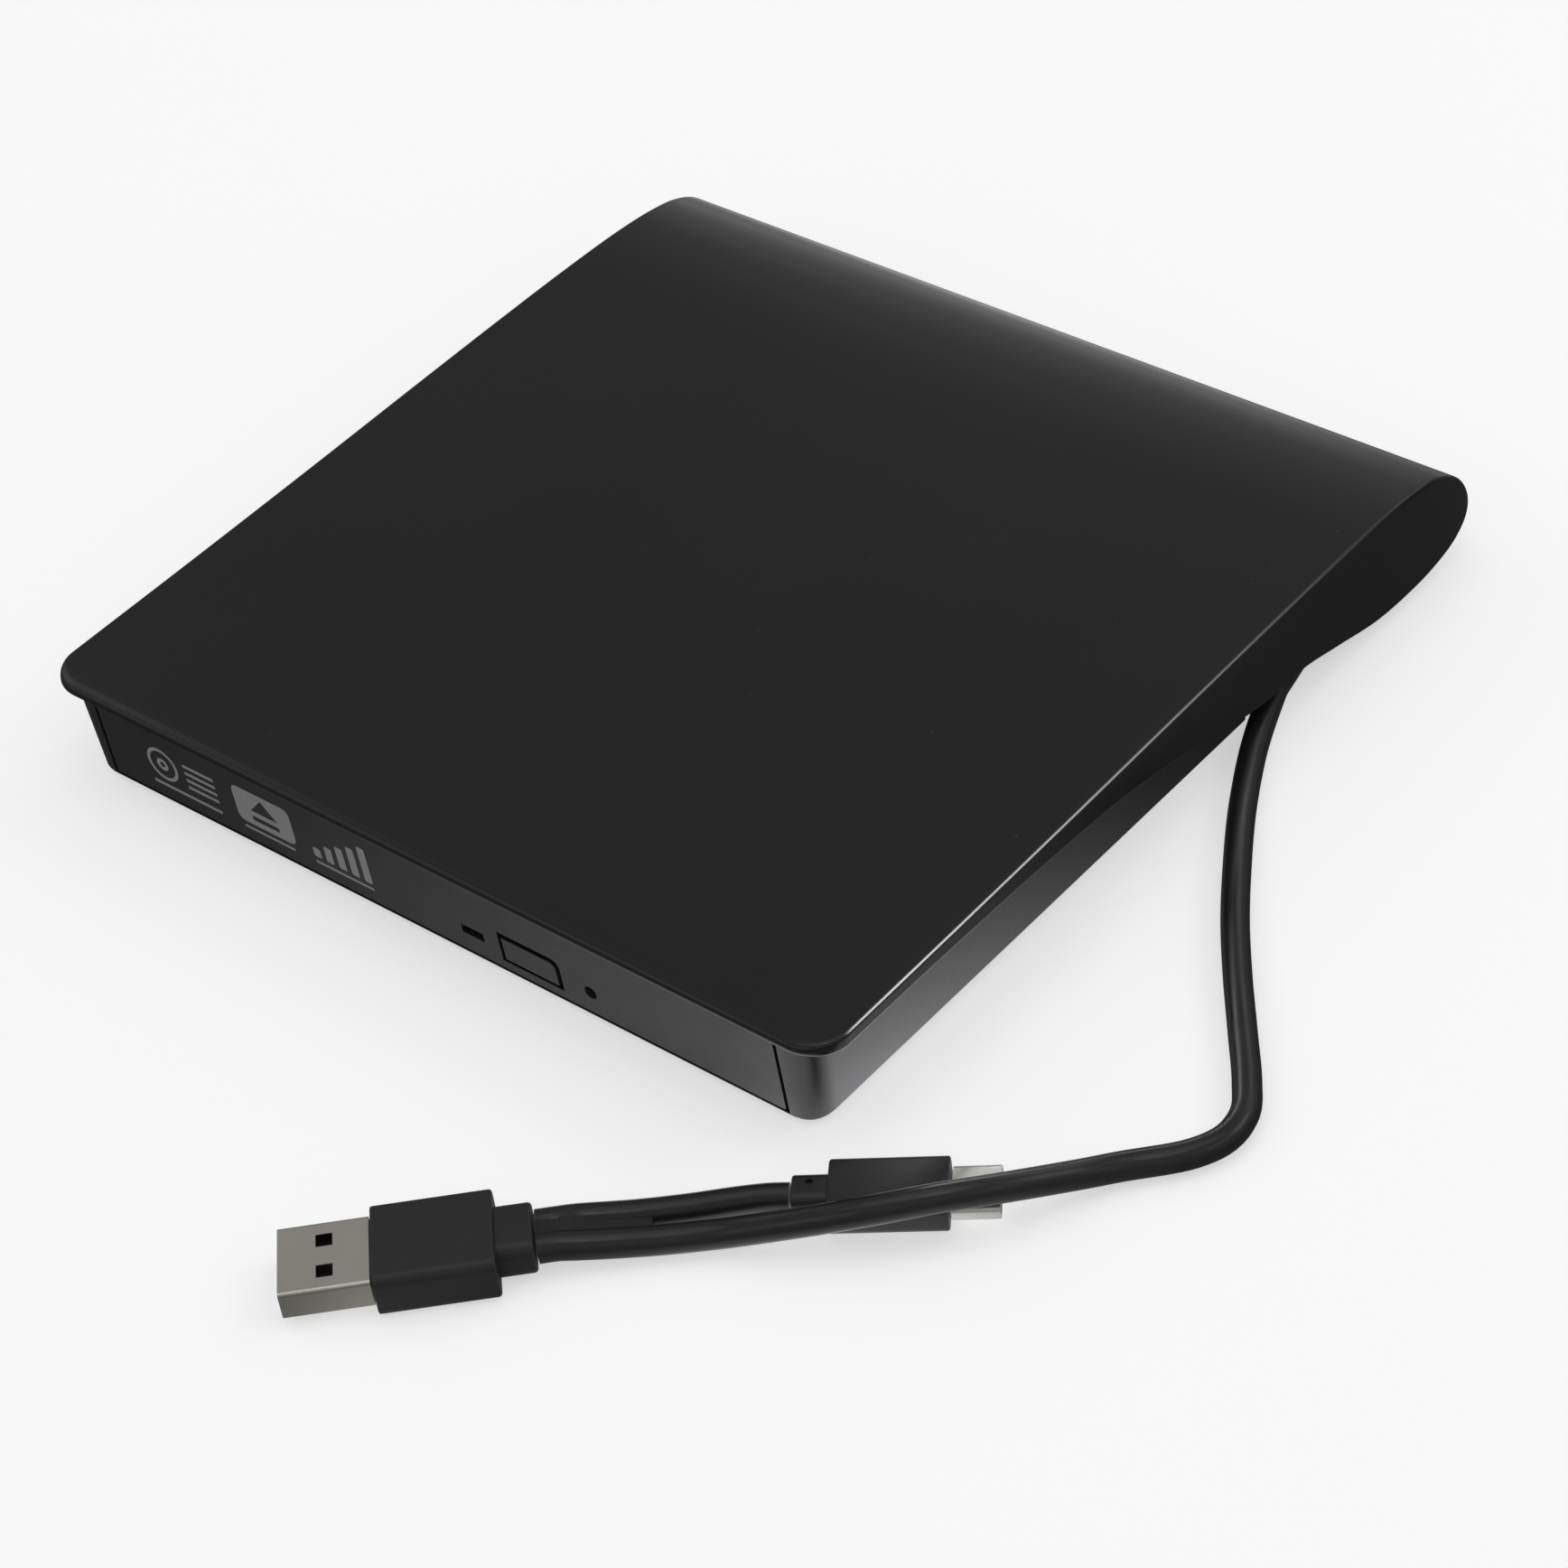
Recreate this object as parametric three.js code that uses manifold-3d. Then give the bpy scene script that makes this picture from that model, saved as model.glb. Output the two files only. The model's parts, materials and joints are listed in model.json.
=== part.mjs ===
// Slim external optical drive: a wedge-shaped housing whose top cover rolls over at the rear,
// a tray-load disc mechanism inside it, and a captive lead ending in two plugs.
// Millimetres, +Z up, +Y towards the rear, +X to the right seen from the front.
// Parts are drawn with the front face at y = 0 and the housing's floor at z = 0.

import * as THREE from "three";
import { mergeVertices } from "three/addons/utils/BufferGeometryUtils.js";
import Module from "manifold-3d";

const wasm = await Module();
wasm.setup();

// ---- driving dimensions ----
const COVER_WIDTH = 147.2;
const COVER_FRONT = -1.9;
const COVER_REAR = 148.3;
const COVER_UNDERSIDE = 14.5;
const COVER_CROWN = 18.95;
const COVER_SKIN = 2.1;
const CHEEK = 1.7;
const EDGE_ROUND = 0.7;
const COVER_CORNER = 6;

const BASE_WIDTH = 138.2;
const BASE_DRAFT = 1.3;
const BASE_WALL = 2;
const BASE_FLOOR = 1.4;
const BASE_TOP = 14.2;
const BASE_CORNER = 4.5;
const FRONT_LEAN = 0.05;
const FOOT_HEIGHT = 0.8;

const DRIVE_WIDTH = 127;
const DRIVE_FRONT = 3.6;
const DRIVE_REAR = 126.4;
const SHEET = 0.7;
const GAP = 0.3;

const BEZEL_HALF = 64.15;
const DISC_RADIUS = 60;
const HUB_Y = 65.5;
const TRAVERSE_TURN = -Math.PI / 4;
const LENS_INNER = 24;

const CORD_DIAMETER = 4;
const CORD_Z = CORD_DIAMETER / 2 - FOOT_HEIGHT + 0.1;

const coverHalf = COVER_WIDTH / 2;
const cheekInside = coverHalf - CHEEK;
const baseHalf = BASE_WIDTH / 2;
const midDepth = (COVER_FRONT + COVER_REAR) / 2;
const rearWallFront = DRIVE_REAR + 1.5;
const rearWallBack = rearWallFront + 1.5;

// ---- colours ----
function finish(name, colour, roughness, metalness = 0) {
  const material = new THREE.MeshStandardMaterial({ color: colour, roughness, metalness });
  material.name = name;
  return material;
}
const glossBlack = () => finish("cover_black", 0x111214, 0.28);
const satinBlack = () => finish("base_black", 0x17181a, 0.45);
const bezelBlack = () => finish("bezel_black", 0x1b1c1e, 0.42);
const rubberBlack = () => finish("foot_rubber", 0x101010, 0.9);
const cordBlack = () => finish("cord_black", 0x131315, 0.4);
const plugBlack = () => finish("plug_black", 0x18191b, 0.55);
const bareSteel = () => finish("pan_steel", 0x9a9c9e, 0.35, 1);
const platedSteel = () => finish("plug_steel", 0xb9b3a8, 0.28, 1);
const rodSteel = () => finish("rod_steel", 0xc4c6c8, 0.15, 1);
const darkScrew = () => finish("screw_steel", 0x2a2b2d, 0.4, 1);
const trayBlack = () => finish("tray_black", 0x1c1d1f, 0.6);
const boardGreen = () => finish("board_green", 0x0f3d24, 0.5);
const chipBlack = () => finish("chip_black", 0x141414, 0.5);
const ivory = () => finish("connector_ivory", 0xd8d2c0, 0.5);
const amber = () => finish("ribbon_amber", 0xb0762c, 0.4);
const clearGlass = () => finish("lens_glass", 0x9db8d6, 0.05);
const smokedWindow = () => finish("led_window", 0x060607, 0.15);
const tongueBlack = () => finish("tongue_black", 0x1a1b1d, 0.45);

// ---- solids ----
function solid(geometry) {
  const bare = geometry.clone();
  bare.deleteAttribute("normal");
  bare.deleteAttribute("uv");
  const merged = mergeVertices(bare, 1e-4);
  const mesh = new wasm.Mesh({
    numProp: 3,
    vertProperties: new Float32Array(merged.attributes.position.array),
    triVerts: new Uint32Array(merged.index.array),
  });
  return new wasm.Manifold(mesh);
}

function geometryOf(manifold) {
  const mesh = manifold.getMesh();
  const geometry = new THREE.BufferGeometry();
  geometry.setAttribute("position", new THREE.BufferAttribute(mesh.vertProperties, 3));
  geometry.setIndex(new THREE.BufferAttribute(mesh.triVerts, 1));
  return geometry;
}

function block(x0, x1, y0, y1, z0, z1) {
  const geometry = new THREE.BoxGeometry(x1 - x0, y1 - y0, z1 - z0);
  geometry.translate((x0 + x1) / 2, (y0 + y1) / 2, (z0 + z1) / 2);
  return solid(geometry);
}

function post(x, y, radius, z0, z1, sides = 24) {
  const geometry = new THREE.CylinderGeometry(radius, radius, z1 - z0, sides);
  geometry.rotateX(Math.PI / 2);
  geometry.translate(x, y, (z0 + z1) / 2);
  return solid(geometry);
}

function rodAlongX(x0, x1, y, z, radius, sides = 16) {
  const geometry = new THREE.CylinderGeometry(radius, radius, x1 - x0, sides);
  geometry.rotateZ(Math.PI / 2);
  geometry.translate((x0 + x1) / 2, y, z);
  return solid(geometry);
}

function rodAlongY(x, y0, y1, z, radius, sides = 16) {
  const geometry = new THREE.CylinderGeometry(radius, radius, y1 - y0, sides);
  geometry.translate(x, (y0 + y1) / 2, z);
  return solid(geometry);
}

function outline(points) {
  return new THREE.Shape(points.map(([a, b]) => new THREE.Vector2(a, b)));
}

// A plan outline (x, y) raised from z0 to z1.
function raise(shape, z0, z1, curveSegments = 6) {
  const geometry = new THREE.ExtrudeGeometry(shape, { depth: z1 - z0, bevelEnabled: false, curveSegments });
  geometry.translate(0, 0, z0);
  return geometry;
}

// A side outline (y, z) swept from x0 to x1, with its end edges rounded when round is given.
function sweepAlongX(shape, x0, x1, round = 0) {
  const geometry = new THREE.ExtrudeGeometry(shape, {
    depth: x1 - x0 - 2 * round,
    bevelEnabled: round > 0,
    bevelThickness: round,
    bevelSize: round,
    bevelOffset: -round,
    bevelSegments: 3,
    curveSegments: 6,
  });
  geometry.translate(0, 0, x0 + round);
  const turn = new THREE.Matrix4().makeBasis(
    new THREE.Vector3(0, 1, 0),
    new THREE.Vector3(0, 0, 1),
    new THREE.Vector3(1, 0, 0),
  );
  geometry.applyMatrix4(turn);
  return geometry;
}

// A front outline (x, z) swept from y0 back to y1.
function sweepAlongY(shape, y0, y1, curveSegments = 5) {
  const geometry = new THREE.ExtrudeGeometry(shape, { depth: y1 - y0, bevelEnabled: false, curveSegments });
  geometry.rotateX(Math.PI / 2);
  geometry.translate(0, y1, 0);
  return geometry;
}

function roundedOutline(x0, x1, y0, y1, radius) {
  const shape = new THREE.Shape();
  shape.moveTo(x0 + radius, y0);
  shape.lineTo(x1 - radius, y0);
  shape.quadraticCurveTo(x1, y0, x1, y0 + radius);
  shape.lineTo(x1, y1 - radius);
  shape.quadraticCurveTo(x1, y1, x1 - radius, y1);
  shape.lineTo(x0 + radius, y1);
  shape.quadraticCurveTo(x0, y1, x0, y1 - radius);
  shape.lineTo(x0, y0 + radius);
  shape.quadraticCurveTo(x0, y0, x0 + radius, y0);
  return shape;
}

// A closed profile of (radius, z) points turned about the Z axis.
function turned(points, sides = 40) {
  const profile = points.map(([r, z]) => new THREE.Vector2(r, z));
  const geometry = new THREE.LatheGeometry(profile, sides);
  geometry.rotateX(Math.PI / 2);
  return geometry;
}

function turnedSolid(points, sides = 40) {
  const body = solid(turned(points, sides));
  return body.volume() < 0 ? solid(turned([...points].reverse(), sides)) : body;
}

// Points drawn about the disc's centre, with +X along the laser sled's travel.
function atHub(manifold) {
  const geometry = geometryOf(manifold);
  geometry.rotateZ(TRAVERSE_TURN);
  geometry.translate(0, HUB_Y, 0);
  return solid(geometry);
}

const drive = new THREE.Group();
drive.name = "optical_drive";
drive.position.set(0, -midDepth, FOOT_HEIGHT);

function addPart(name, shape, material) {
  const geometry = shape.isBufferGeometry ? shape : geometryOf(shape);
  const mesh = new THREE.Mesh(geometry, material);
  mesh.name = name;
  drive.add(mesh);
  return mesh;
}

// ---- top cover ----
// Side outlines run along y (depth) and z (height).
const TOP_LINE = [
  [8, 16.95],
  [30, 17.25],
  [55, 17.75],
  [80, 18.4],
  [100, 18.82],
  [114, COVER_CROWN],
  [126, 18.75],
  [134, 18.1],
  [140, 16.9],
  [144.4, 14.7],
  [147.2, 11.6],
  [COVER_REAR, 8.2],
  [147.6, 5.4],
  [144.6, 2.9],
  [139, 1.4],
  [132, 1],
];
const CHEEK_LINE = [
  [124, 1.5],
  [114, 3.7],
  [106, 5.4],
  [100, 5.6],
  [94, 6.2],
  [87, 7.8],
  [79, 9.7],
  [70, 11.6],
  [60, 12.9],
  [45, 13.8],
  [24, 14.4],
];

function smoothThrough(points, samples) {
  const curve = new THREE.SplineCurve(points.map(([a, b]) => new THREE.Vector2(a, b)));
  return curve.getPoints(samples);
}

function coverSideOutline() {
  const shape = new THREE.Shape();
  const nose = 1.2;
  shape.moveTo(0.5, COVER_UNDERSIDE);
  shape.quadraticCurveTo(COVER_FRONT, COVER_UNDERSIDE, COVER_FRONT, COVER_UNDERSIDE + nose);
  shape.quadraticCurveTo(COVER_FRONT, 16.8, 0.5, 16.85);
  for (const p of smoothThrough(TOP_LINE, 44)) {
    shape.lineTo(p.x, p.y);
  }
  for (const p of smoothThrough([TOP_LINE.at(-1), ...CHEEK_LINE, [0.5, COVER_UNDERSIDE]], 26).slice(1, -1)) {
    shape.lineTo(p.x, p.y);
  }
  return shape;
}

function coverHollowOutline() {
  const lip = 137.5;
  return outline([
    [-6, -6],
    [lip, -6],
    [lip, 3.1],
    [143, 4.2],
    [145.4, 6.1],
    [146, 8.4],
    [145, 11],
    [142.4, 13.4],
    [138.6, 15.1],
    [133, 16.1],
    [124, 16.65],
    [112, COVER_CROWN - COVER_SKIN],
    [98, 16.65],
    [78, 16.2],
    [55, 15.5],
    [30, 14.9],
    [6, COVER_UNDERSIDE],
    [-6, COVER_UNDERSIDE],
  ]);
}

function topCover() {
  const full = solid(sweepAlongX(coverSideOutline(), -coverHalf, coverHalf, EDGE_ROUND));
  const plan = new THREE.Shape();
  plan.moveTo(-coverHalf, 160);
  plan.lineTo(-coverHalf, COVER_FRONT + COVER_CORNER);
  plan.quadraticCurveTo(-coverHalf, COVER_FRONT, -coverHalf + COVER_CORNER, COVER_FRONT);
  plan.lineTo(coverHalf - COVER_CORNER, COVER_FRONT);
  plan.quadraticCurveTo(coverHalf, COVER_FRONT, coverHalf, COVER_FRONT + COVER_CORNER);
  plan.lineTo(coverHalf, 160);
  const footprint = solid(raise(plan, -5, 25, 8));
  const hollow = solid(sweepAlongX(coverHollowOutline(), -cheekInside, cheekInside));
  return full.intersect(footprint).subtract(hollow);
}

// ---- base shell ----
const gutterWall = 65.4;
const gutterStart = 97;
const footPlaces = [-56, 56].flatMap((x) => [12, 116].map((y) => [x, y]));
const screwPlaces = [-58.5, 58.5].flatMap((x) => [30, 100].map((y) => [x, y]));
const GLAND = { x: 68.3, z: 5, front: 120.5, blockBack: 134.8 };

function basePlan() {
  const shape = new THREE.Shape();
  shape.moveTo(-baseHalf + BASE_CORNER, 0);
  shape.lineTo(baseHalf - BASE_CORNER, 0);
  shape.quadraticCurveTo(baseHalf, 0, baseHalf, BASE_CORNER);
  shape.lineTo(baseHalf, gutterStart);
  shape.lineTo(gutterWall, gutterStart + 3);
  shape.lineTo(gutterWall, rearWallBack);
  shape.lineTo(-gutterWall, rearWallBack);
  shape.lineTo(-gutterWall, gutterStart + 3);
  shape.lineTo(-baseHalf, gutterStart);
  shape.lineTo(-baseHalf, BASE_CORNER);
  shape.quadraticCurveTo(-baseHalf, 0, -baseHalf + BASE_CORNER, 0);
  return shape;
}

// The side walls spread towards the top and the front face leans forward.
function draftWalls(geometry) {
  const position = geometry.attributes.position;
  for (let i = 0; i < position.count; i += 1) {
    const x = position.getX(i);
    const y = position.getY(i);
    const z = position.getZ(i);
    if (Math.abs(x) > gutterWall + 0.5) {
      const share = (Math.abs(x) - gutterWall) / (baseHalf - gutterWall);
      position.setX(i, x + Math.sign(x) * share * BASE_DRAFT * (z / BASE_TOP));
    }
    if (y < BASE_CORNER - 0.01) {
      position.setY(i, y - FRONT_LEAN * z);
    }
  }
  return geometry;
}

function baseShell() {
  const innerHalf = baseHalf - BASE_WALL;
  const gutterInside = gutterWall - 1.2;
  let shell = solid(draftWalls(raise(basePlan(), 0, BASE_TOP, 6)));
  const room = block(-innerHalf, innerHalf, 2.4, gutterStart - 1, BASE_FLOOR, 20);
  const rearRoom = block(-gutterInside, gutterInside, gutterStart - 2, rearWallFront, BASE_FLOOR, 20);
  const doorway = block(-BEZEL_HALF - 0.6, BEZEL_HALF + 0.6, -5, 3.3, 0.6, 20);
  shell = shell.subtract(room).subtract(rearRoom).subtract(doorway);
  shell = shell.subtract(block(-50, -26, rearWallFront - 1, rearWallBack + 1, 4, 20));
  shell = shell.add(block(-60, -11, rearWallBack - 0.4, 137.1, 0, BASE_FLOOR));
  for (const x of [-57, -14]) {
    shell = shell.add(post(x, 133, 1.8, BASE_FLOOR - 0.2, 4.7));
  }
  shell = shell.add(block(60, cheekInside - GAP, rearWallBack - 0.4, GLAND.blockBack, 1.6, 8.6));
  shell = shell.subtract(rodAlongY(GLAND.x, 125, 140, GLAND.z, 2.8, 20));
  for (const [x, y] of footPlaces) {
    shell = shell.subtract(post(x, y, 5.3, -1, 0.5, 28));
  }
  for (const [x, y] of screwPlaces) {
    shell = shell.subtract(post(x, y, 2.6, -1, 0.8));
    shell = shell.subtract(post(x, y, 1.3, -1, 3, 16));
  }
  return shell;
}

function rubberFoot(x, y) {
  const low = -FOOT_HEIGHT;
  const pad = turnedSolid(
    [
      [0, low],
      [4.6, low],
      [5, low + 0.4],
      [5, 0.2],
      [0, 0.2],
    ],
    28,
  );
  return pad.translate(x, y, 0);
}

function caseScrew(x, y) {
  const head = post(x, y, 2.3, 0.05, 0.5);
  const shank = post(x, y, 0.9, 0.4, 2.8, 16);
  const slotA = block(x - 1.2, x + 1.2, y - 0.25, y + 0.25, -1, 0.3);
  const slotB = block(x - 0.25, x + 0.25, y - 1.2, y + 1.2, -1, 0.3);
  return head.add(shank).subtract(slotA).subtract(slotB);
}

// ---- drive chassis ----
const driveHalf = DRIVE_WIDTH / 2;
const panBottom = BASE_FLOOR + GAP;
const panFloorTop = panBottom + 0.6;
const LID_BOTTOM = 13.5;

function drivePan() {
  let pan = block(-driveHalf, driveHalf, DRIVE_FRONT, DRIVE_REAR, panBottom, LID_BOTTOM - GAP);
  pan = pan.subtract(block(-driveHalf + SHEET, driveHalf - SHEET, 0, DRIVE_REAR - SHEET, panFloorTop, 20));
  pan = pan.subtract(block(-49, -27, DRIVE_REAR - 3, DRIVE_REAR + 3, 4, 9));
  for (const [x, y] of screwPlaces) {
    pan = pan.subtract(post(x, y, 1.2, 0, 4, 16));
  }
  pan = pan.add(post(-44, 9, 1, panFloorTop - 0.2, 8, 16));
  return pan;
}

function driveLid() {
  const plate = solid(raise(roundedOutline(-driveHalf, driveHalf, DRIVE_FRONT, DRIVE_REAR, 2), LID_BOTTOM, 14));
  const raised = post(0, HUB_Y, 21, 13.9, 14.2, 36);
  return plate.add(raised);
}

// ---- tray ----
const DECK_LOW = 9.2;
const DECK_TOP = 11.9;
const RECESS_FLOOR = 10.4;
const deckHalf = driveHalf - SHEET - 0.5;
const LATCH = { x: -39.5, y: 24 };

function tray() {
  let deck = solid(raise(roundedOutline(-deckHalf, deckHalf, 3.3, 121.5, 2), DECK_LOW, DECK_TOP));
  deck = deck.subtract(post(0, HUB_Y, DISC_RADIUS + 0.6, RECESS_FLOOR, 13, 88));
  deck = deck.subtract(post(0, HUB_Y, 40.6, RECESS_FLOOR - 0.45, 13, 64));
  deck = deck.subtract(post(0, HUB_Y, 14.2, 8, 13, 36));
  const slot = solid(raise(roundedOutline(0, 65.5, -17.2, 17.2, 2), 8, 13));
  deck = deck.subtract(atHub(slot));
  for (const side of [-1, 1]) {
    const [a, b] = side < 0 ? [-59.9, -57.6] : [57.6, 59.9];
    const [c, d] = side < 0 ? [-61, -59.7] : [59.7, 61];
    deck = deck.add(block(a, b, 5, 121, 4.6, DECK_LOW + 0.3));
    deck = deck.add(block(c, d, 8, 118, 5.5, 7.1));
  }
  deck = deck.add(block(-59.9, 59.9, 3.3, 5, 3, DECK_LOW + 0.3));
  deck = deck.subtract(block(5.6, 26.4, 2, 5.2, 3.4, 8.7));
  deck = deck.subtract(rodAlongY(30.4, 2, 6, 5, 0.9, 12));
  deck = deck.add(post(LATCH.x, LATCH.y, 0.9, 4.4, DECK_LOW + 0.3, 16));
  return deck;
}

// The bezel's front face leans, so its depth depends on the height.
function leanFront(geometry) {
  const position = geometry.attributes.position;
  for (let i = 0; i < position.count; i += 1) {
    if (position.getY(i) < 0.5) {
      position.setY(i, position.getY(i) - FRONT_LEAN * position.getZ(i));
    }
  }
  return geometry;
}

const LED = { x0: 6.5, x1: 10.7, z0: 4.3, z1: 5.9 };
const BUTTON = { x0: 13.7, x1: 25.1, z0: 2.45, z1: 8.05 };

function buttonOutline(inset) {
  const { x0, x1, z0, z1 } = BUTTON;
  const corner = 1.6;
  const shape = new THREE.Shape();
  shape.moveTo(x0 + inset, z0 + inset);
  shape.lineTo(x1 - inset, z0 + inset);
  shape.lineTo(x1 - inset, z1 - corner);
  shape.quadraticCurveTo(x1 - inset, z1 - inset, x1 - corner, z1 - inset);
  shape.lineTo(x0 + inset, z1 - inset);
  return shape;
}

function trayBezel() {
  const face = roundedOutline(-BEZEL_HALF, BEZEL_HALF, 1, 14.1, 0.4);
  const plate = solid(leanFront(sweepAlongY(face, 0, 3)));
  const windowCut = block(LED.x0, LED.x1, -3, 5, LED.z0, LED.z1);
  const buttonCut = solid(sweepAlongY(buttonOutline(0), -3, 5));
  const pinhole = rodAlongY(30.4, -3, 5, 5, 0.65, 16);
  return plate.subtract(windowCut).subtract(buttonCut).subtract(pinhole);
}

function ejectButton() {
  const cap = solid(leanFront(sweepAlongY(buttonOutline(GAP), 0, 2.4)));
  return cap.add(block(18.4, 20.6, 2.2, 5.2, 4.2, 6.2));
}

function ledPipe() {
  return block(LED.x0 + GAP, LED.x1 - GAP, -0.15, 5.2, LED.z0 + GAP, LED.z1 - GAP);
}

function frontBoard() {
  const board = block(3, 29, 5.5, 11, 7.3, 8.3);
  const lamp = block(7.4, 9.8, 5.5, 7.5, 4.2, 7.5);
  const clicker = block(17, 22, 5.8, 9, 3.6, 7.5);
  return board.add(lamp).add(clicker);
}

// One slide rail: a channel open towards the tray's edge.
function slideRail(side) {
  const groove = [
    [60.2, 4.6],
    [62.4, 4.6],
    [62.4, 8],
    [60.2, 8],
    [60.2, 7.4],
    [61.35, 7.4],
    [61.35, 5.2],
    [60.2, 5.2],
  ];
  const points = groove.map(([x, z]) => [side * x, z]);
  return sweepAlongY(outline(side < 0 ? points.reverse() : points), 5, 119);
}

// ---- disc and laser mechanism, drawn about the disc's centre ----
const ROD_V = 14.5;
const ROD_Z = 6.2;
const SCREW_V = 18.6;
const SCREW_Z = 6.5;
const SLED_INNER = LENS_INNER - 8.5;
const SLED_OUTER = LENS_INNER + 7.5;
const SLED_TRAVEL = 30;

function traversePlate() {
  const mm = block(-14, 66, -18.8, 20.4, 3, 3.8);
  let plate = mm.subtract(block(13, 62, -11.5, 11.5, 2, 5));
  for (const v of [-ROD_V, ROD_V]) {
    plate = plate.add(block(3, 5.2, v - 1.8, v + 1.8, 3.6, 7.9));
    plate = plate.add(block(62, 64.4, v - 1.8, v + 1.8, 3.6, 7.9));
  }
  plate = plate.add(block(60.9, 61.9, SCREW_V - 1.2, SCREW_V + 1.2, 3.6, 7.6));
  const underTray = block(-57.2, 57.2, 5.7, 118, 0, 9);
  return atHub(plate).intersect(underTray);
}

function guideRod(v) {
  return atHub(rodAlongX(5.5, 61.7, v, ROD_Z, 1.25));
}

function spindleMotor() {
  return turnedSolid([
    [0, 4.1],
    [12.5, 4.1],
    [12.5, 4.7],
    [11, 4.9],
    [11, 8.2],
    [10.7, 8.5],
    [0, 8.5],
  ]).translate(0, HUB_Y, 0);
}

function turntable() {
  let hub = turnedSolid([
    [0, 8.8],
    [12.9, 8.8],
    [12.9, 10.6],
    [7.3, 10.6],
    [7.25, 12.2],
    [6.6, 12.7],
    [0, 12.7],
  ]);
  for (const turn of [90, 210, 330]) {
    hub = hub.subtract(block(3, 9, -1.4, 1.4, 11.1, 12.3).rotate([0, 0, turn]));
  }
  return hub.translate(0, HUB_Y, 0);
}

function hubClaw(turn) {
  return block(3.9, 7.7, -1.1, 1.1, 11.4, 12).rotate([0, 0, turn]).translate(0, HUB_Y, 0);
}

function gripRing() {
  const ring = post(0, HUB_Y, 12.4, 10.9, 11.2, 40);
  return ring.subtract(post(0, HUB_Y, 8.4, 10, 12, 32));
}

function laserSled() {
  let sled = solid(raise(roundedOutline(SLED_INNER, SLED_OUTER, -16.4, 16.4, 1.5), 4.4, 9.2));
  for (const v of [-ROD_V, ROD_V]) {
    sled = sled.subtract(rodAlongX(0, 60, v, ROD_Z, 1.55));
  }
  const lensWell = block(LENS_INNER - 5.5, LENS_INNER + 5.5, -5.5, 5.5, 6.8, 12);
  const follower = block(LENS_INNER - 3, LENS_INNER + 3, 16, SCREW_V + 1.2, 8, 9.1);
  return atHub(sled.subtract(lensWell).add(follower));
}

function lensHolder() {
  const frame = block(LENS_INNER - 3.8, LENS_INNER + 3.8, -3.8, 3.8, 7.4, 9.6);
  const seat = post(LENS_INNER, 0, 2.4, 9, 12, 24);
  return atHub(frame.subtract(seat));
}

function objectiveLens() {
  const dome = turnedSolid(
    [
      [0, 9.3],
      [2.1, 9.3],
      [2.1, 9.7],
      [1.6, 10.1],
      [0.9, 10.35],
      [0, 10.45],
    ],
    24,
  );
  return atHub(dome.translate(LENS_INNER, 0, 0));
}

function leadscrew() {
  return atHub(rodAlongX(20.3, 60.6, SCREW_V, SCREW_Z, 1.1));
}

function sledMotor() {
  const can = rodAlongX(8, 20, SCREW_V, SCREW_Z, 1.9, 20);
  return atHub(can);
}

function ejectSolenoid() {
  const coil = rodAlongX(-31, -19, 11.5, 6.4, 2.4, 20);
  const yoke = block(-30, -20, 8.4, 14.6, 4.2, 5);
  return coil.add(yoke);
}

function trayLatch() {
  const arm = block(LATCH.x - 1.1, LATCH.x + 1.1, 11, LATCH.y, 5, 6.4);
  const boss = post(LATCH.x, LATCH.y, 2.4, 5, 6.4);
  const hook = block(LATCH.x - 2.7, LATCH.x + 1.1, 10.6, 12.4, 5, 6.4);
  const hole = post(LATCH.x, LATCH.y, 1.25, 4, 8, 16);
  return arm.add(boss).add(hook).subtract(hole);
}

// ---- fixed electronics ----
function driveBoard() {
  return block(-55, 44, 97, 124.6, 3, 4);
}

function driveChip() {
  return block(-20, -6, 104, 118, 4.3, 5.4);
}

function sataPlug() {
  return block(-48, -28, 121, 127.2, 4.3, 8.6);
}

function trayRibbon() {
  return block(-12, 8, 60, 96.6, panFloorTop + 0.12, panFloorTop + 0.3);
}

function bridgeBoard() {
  return block(-58, -12, 130, 143.2, 5, 6.2);
}

function bridgeChip() {
  return block(-24, -16.5, 131.5, 139, 6.5, 7.5);
}

function sataSocket() {
  return block(-47, -29, 127.6, 134, 6.5, 9.4);
}

function wireHeader() {
  return block(-15.8, -12.6, 139.6, 143, 6.5, 9.5);
}

// ---- leads and plugs ----
// Round lead through the given centre points; sides are kept low because it is thin.
function lead(points, diameter, sides, steps) {
  const path = new THREE.CatmullRomCurve3(
    points.map(([x, y, z]) => new THREE.Vector3(x, y, z)),
    false,
    "centripetal",
  );
  const ring = new THREE.Shape();
  ring.absarc(0, 0, diameter / 2, 0, Math.PI * 2);
  return new THREE.ExtrudeGeometry(ring, {
    steps,
    curveSegments: sides / 2,
    extrudePath: path,
    bevelEnabled: false,
  });
}

// The lead leaves its gland forwards and is held in the gutter under the cover's cheek.
const GUTTER_ROUTE = [
  [GLAND.x, GLAND.front - GAP, GLAND.z],
  [GLAND.x, 117, 4.5],
  [GLAND.x + 0.1, 111.5, 2.6],
  [68.9, 106.5, 1.5],
];

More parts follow.
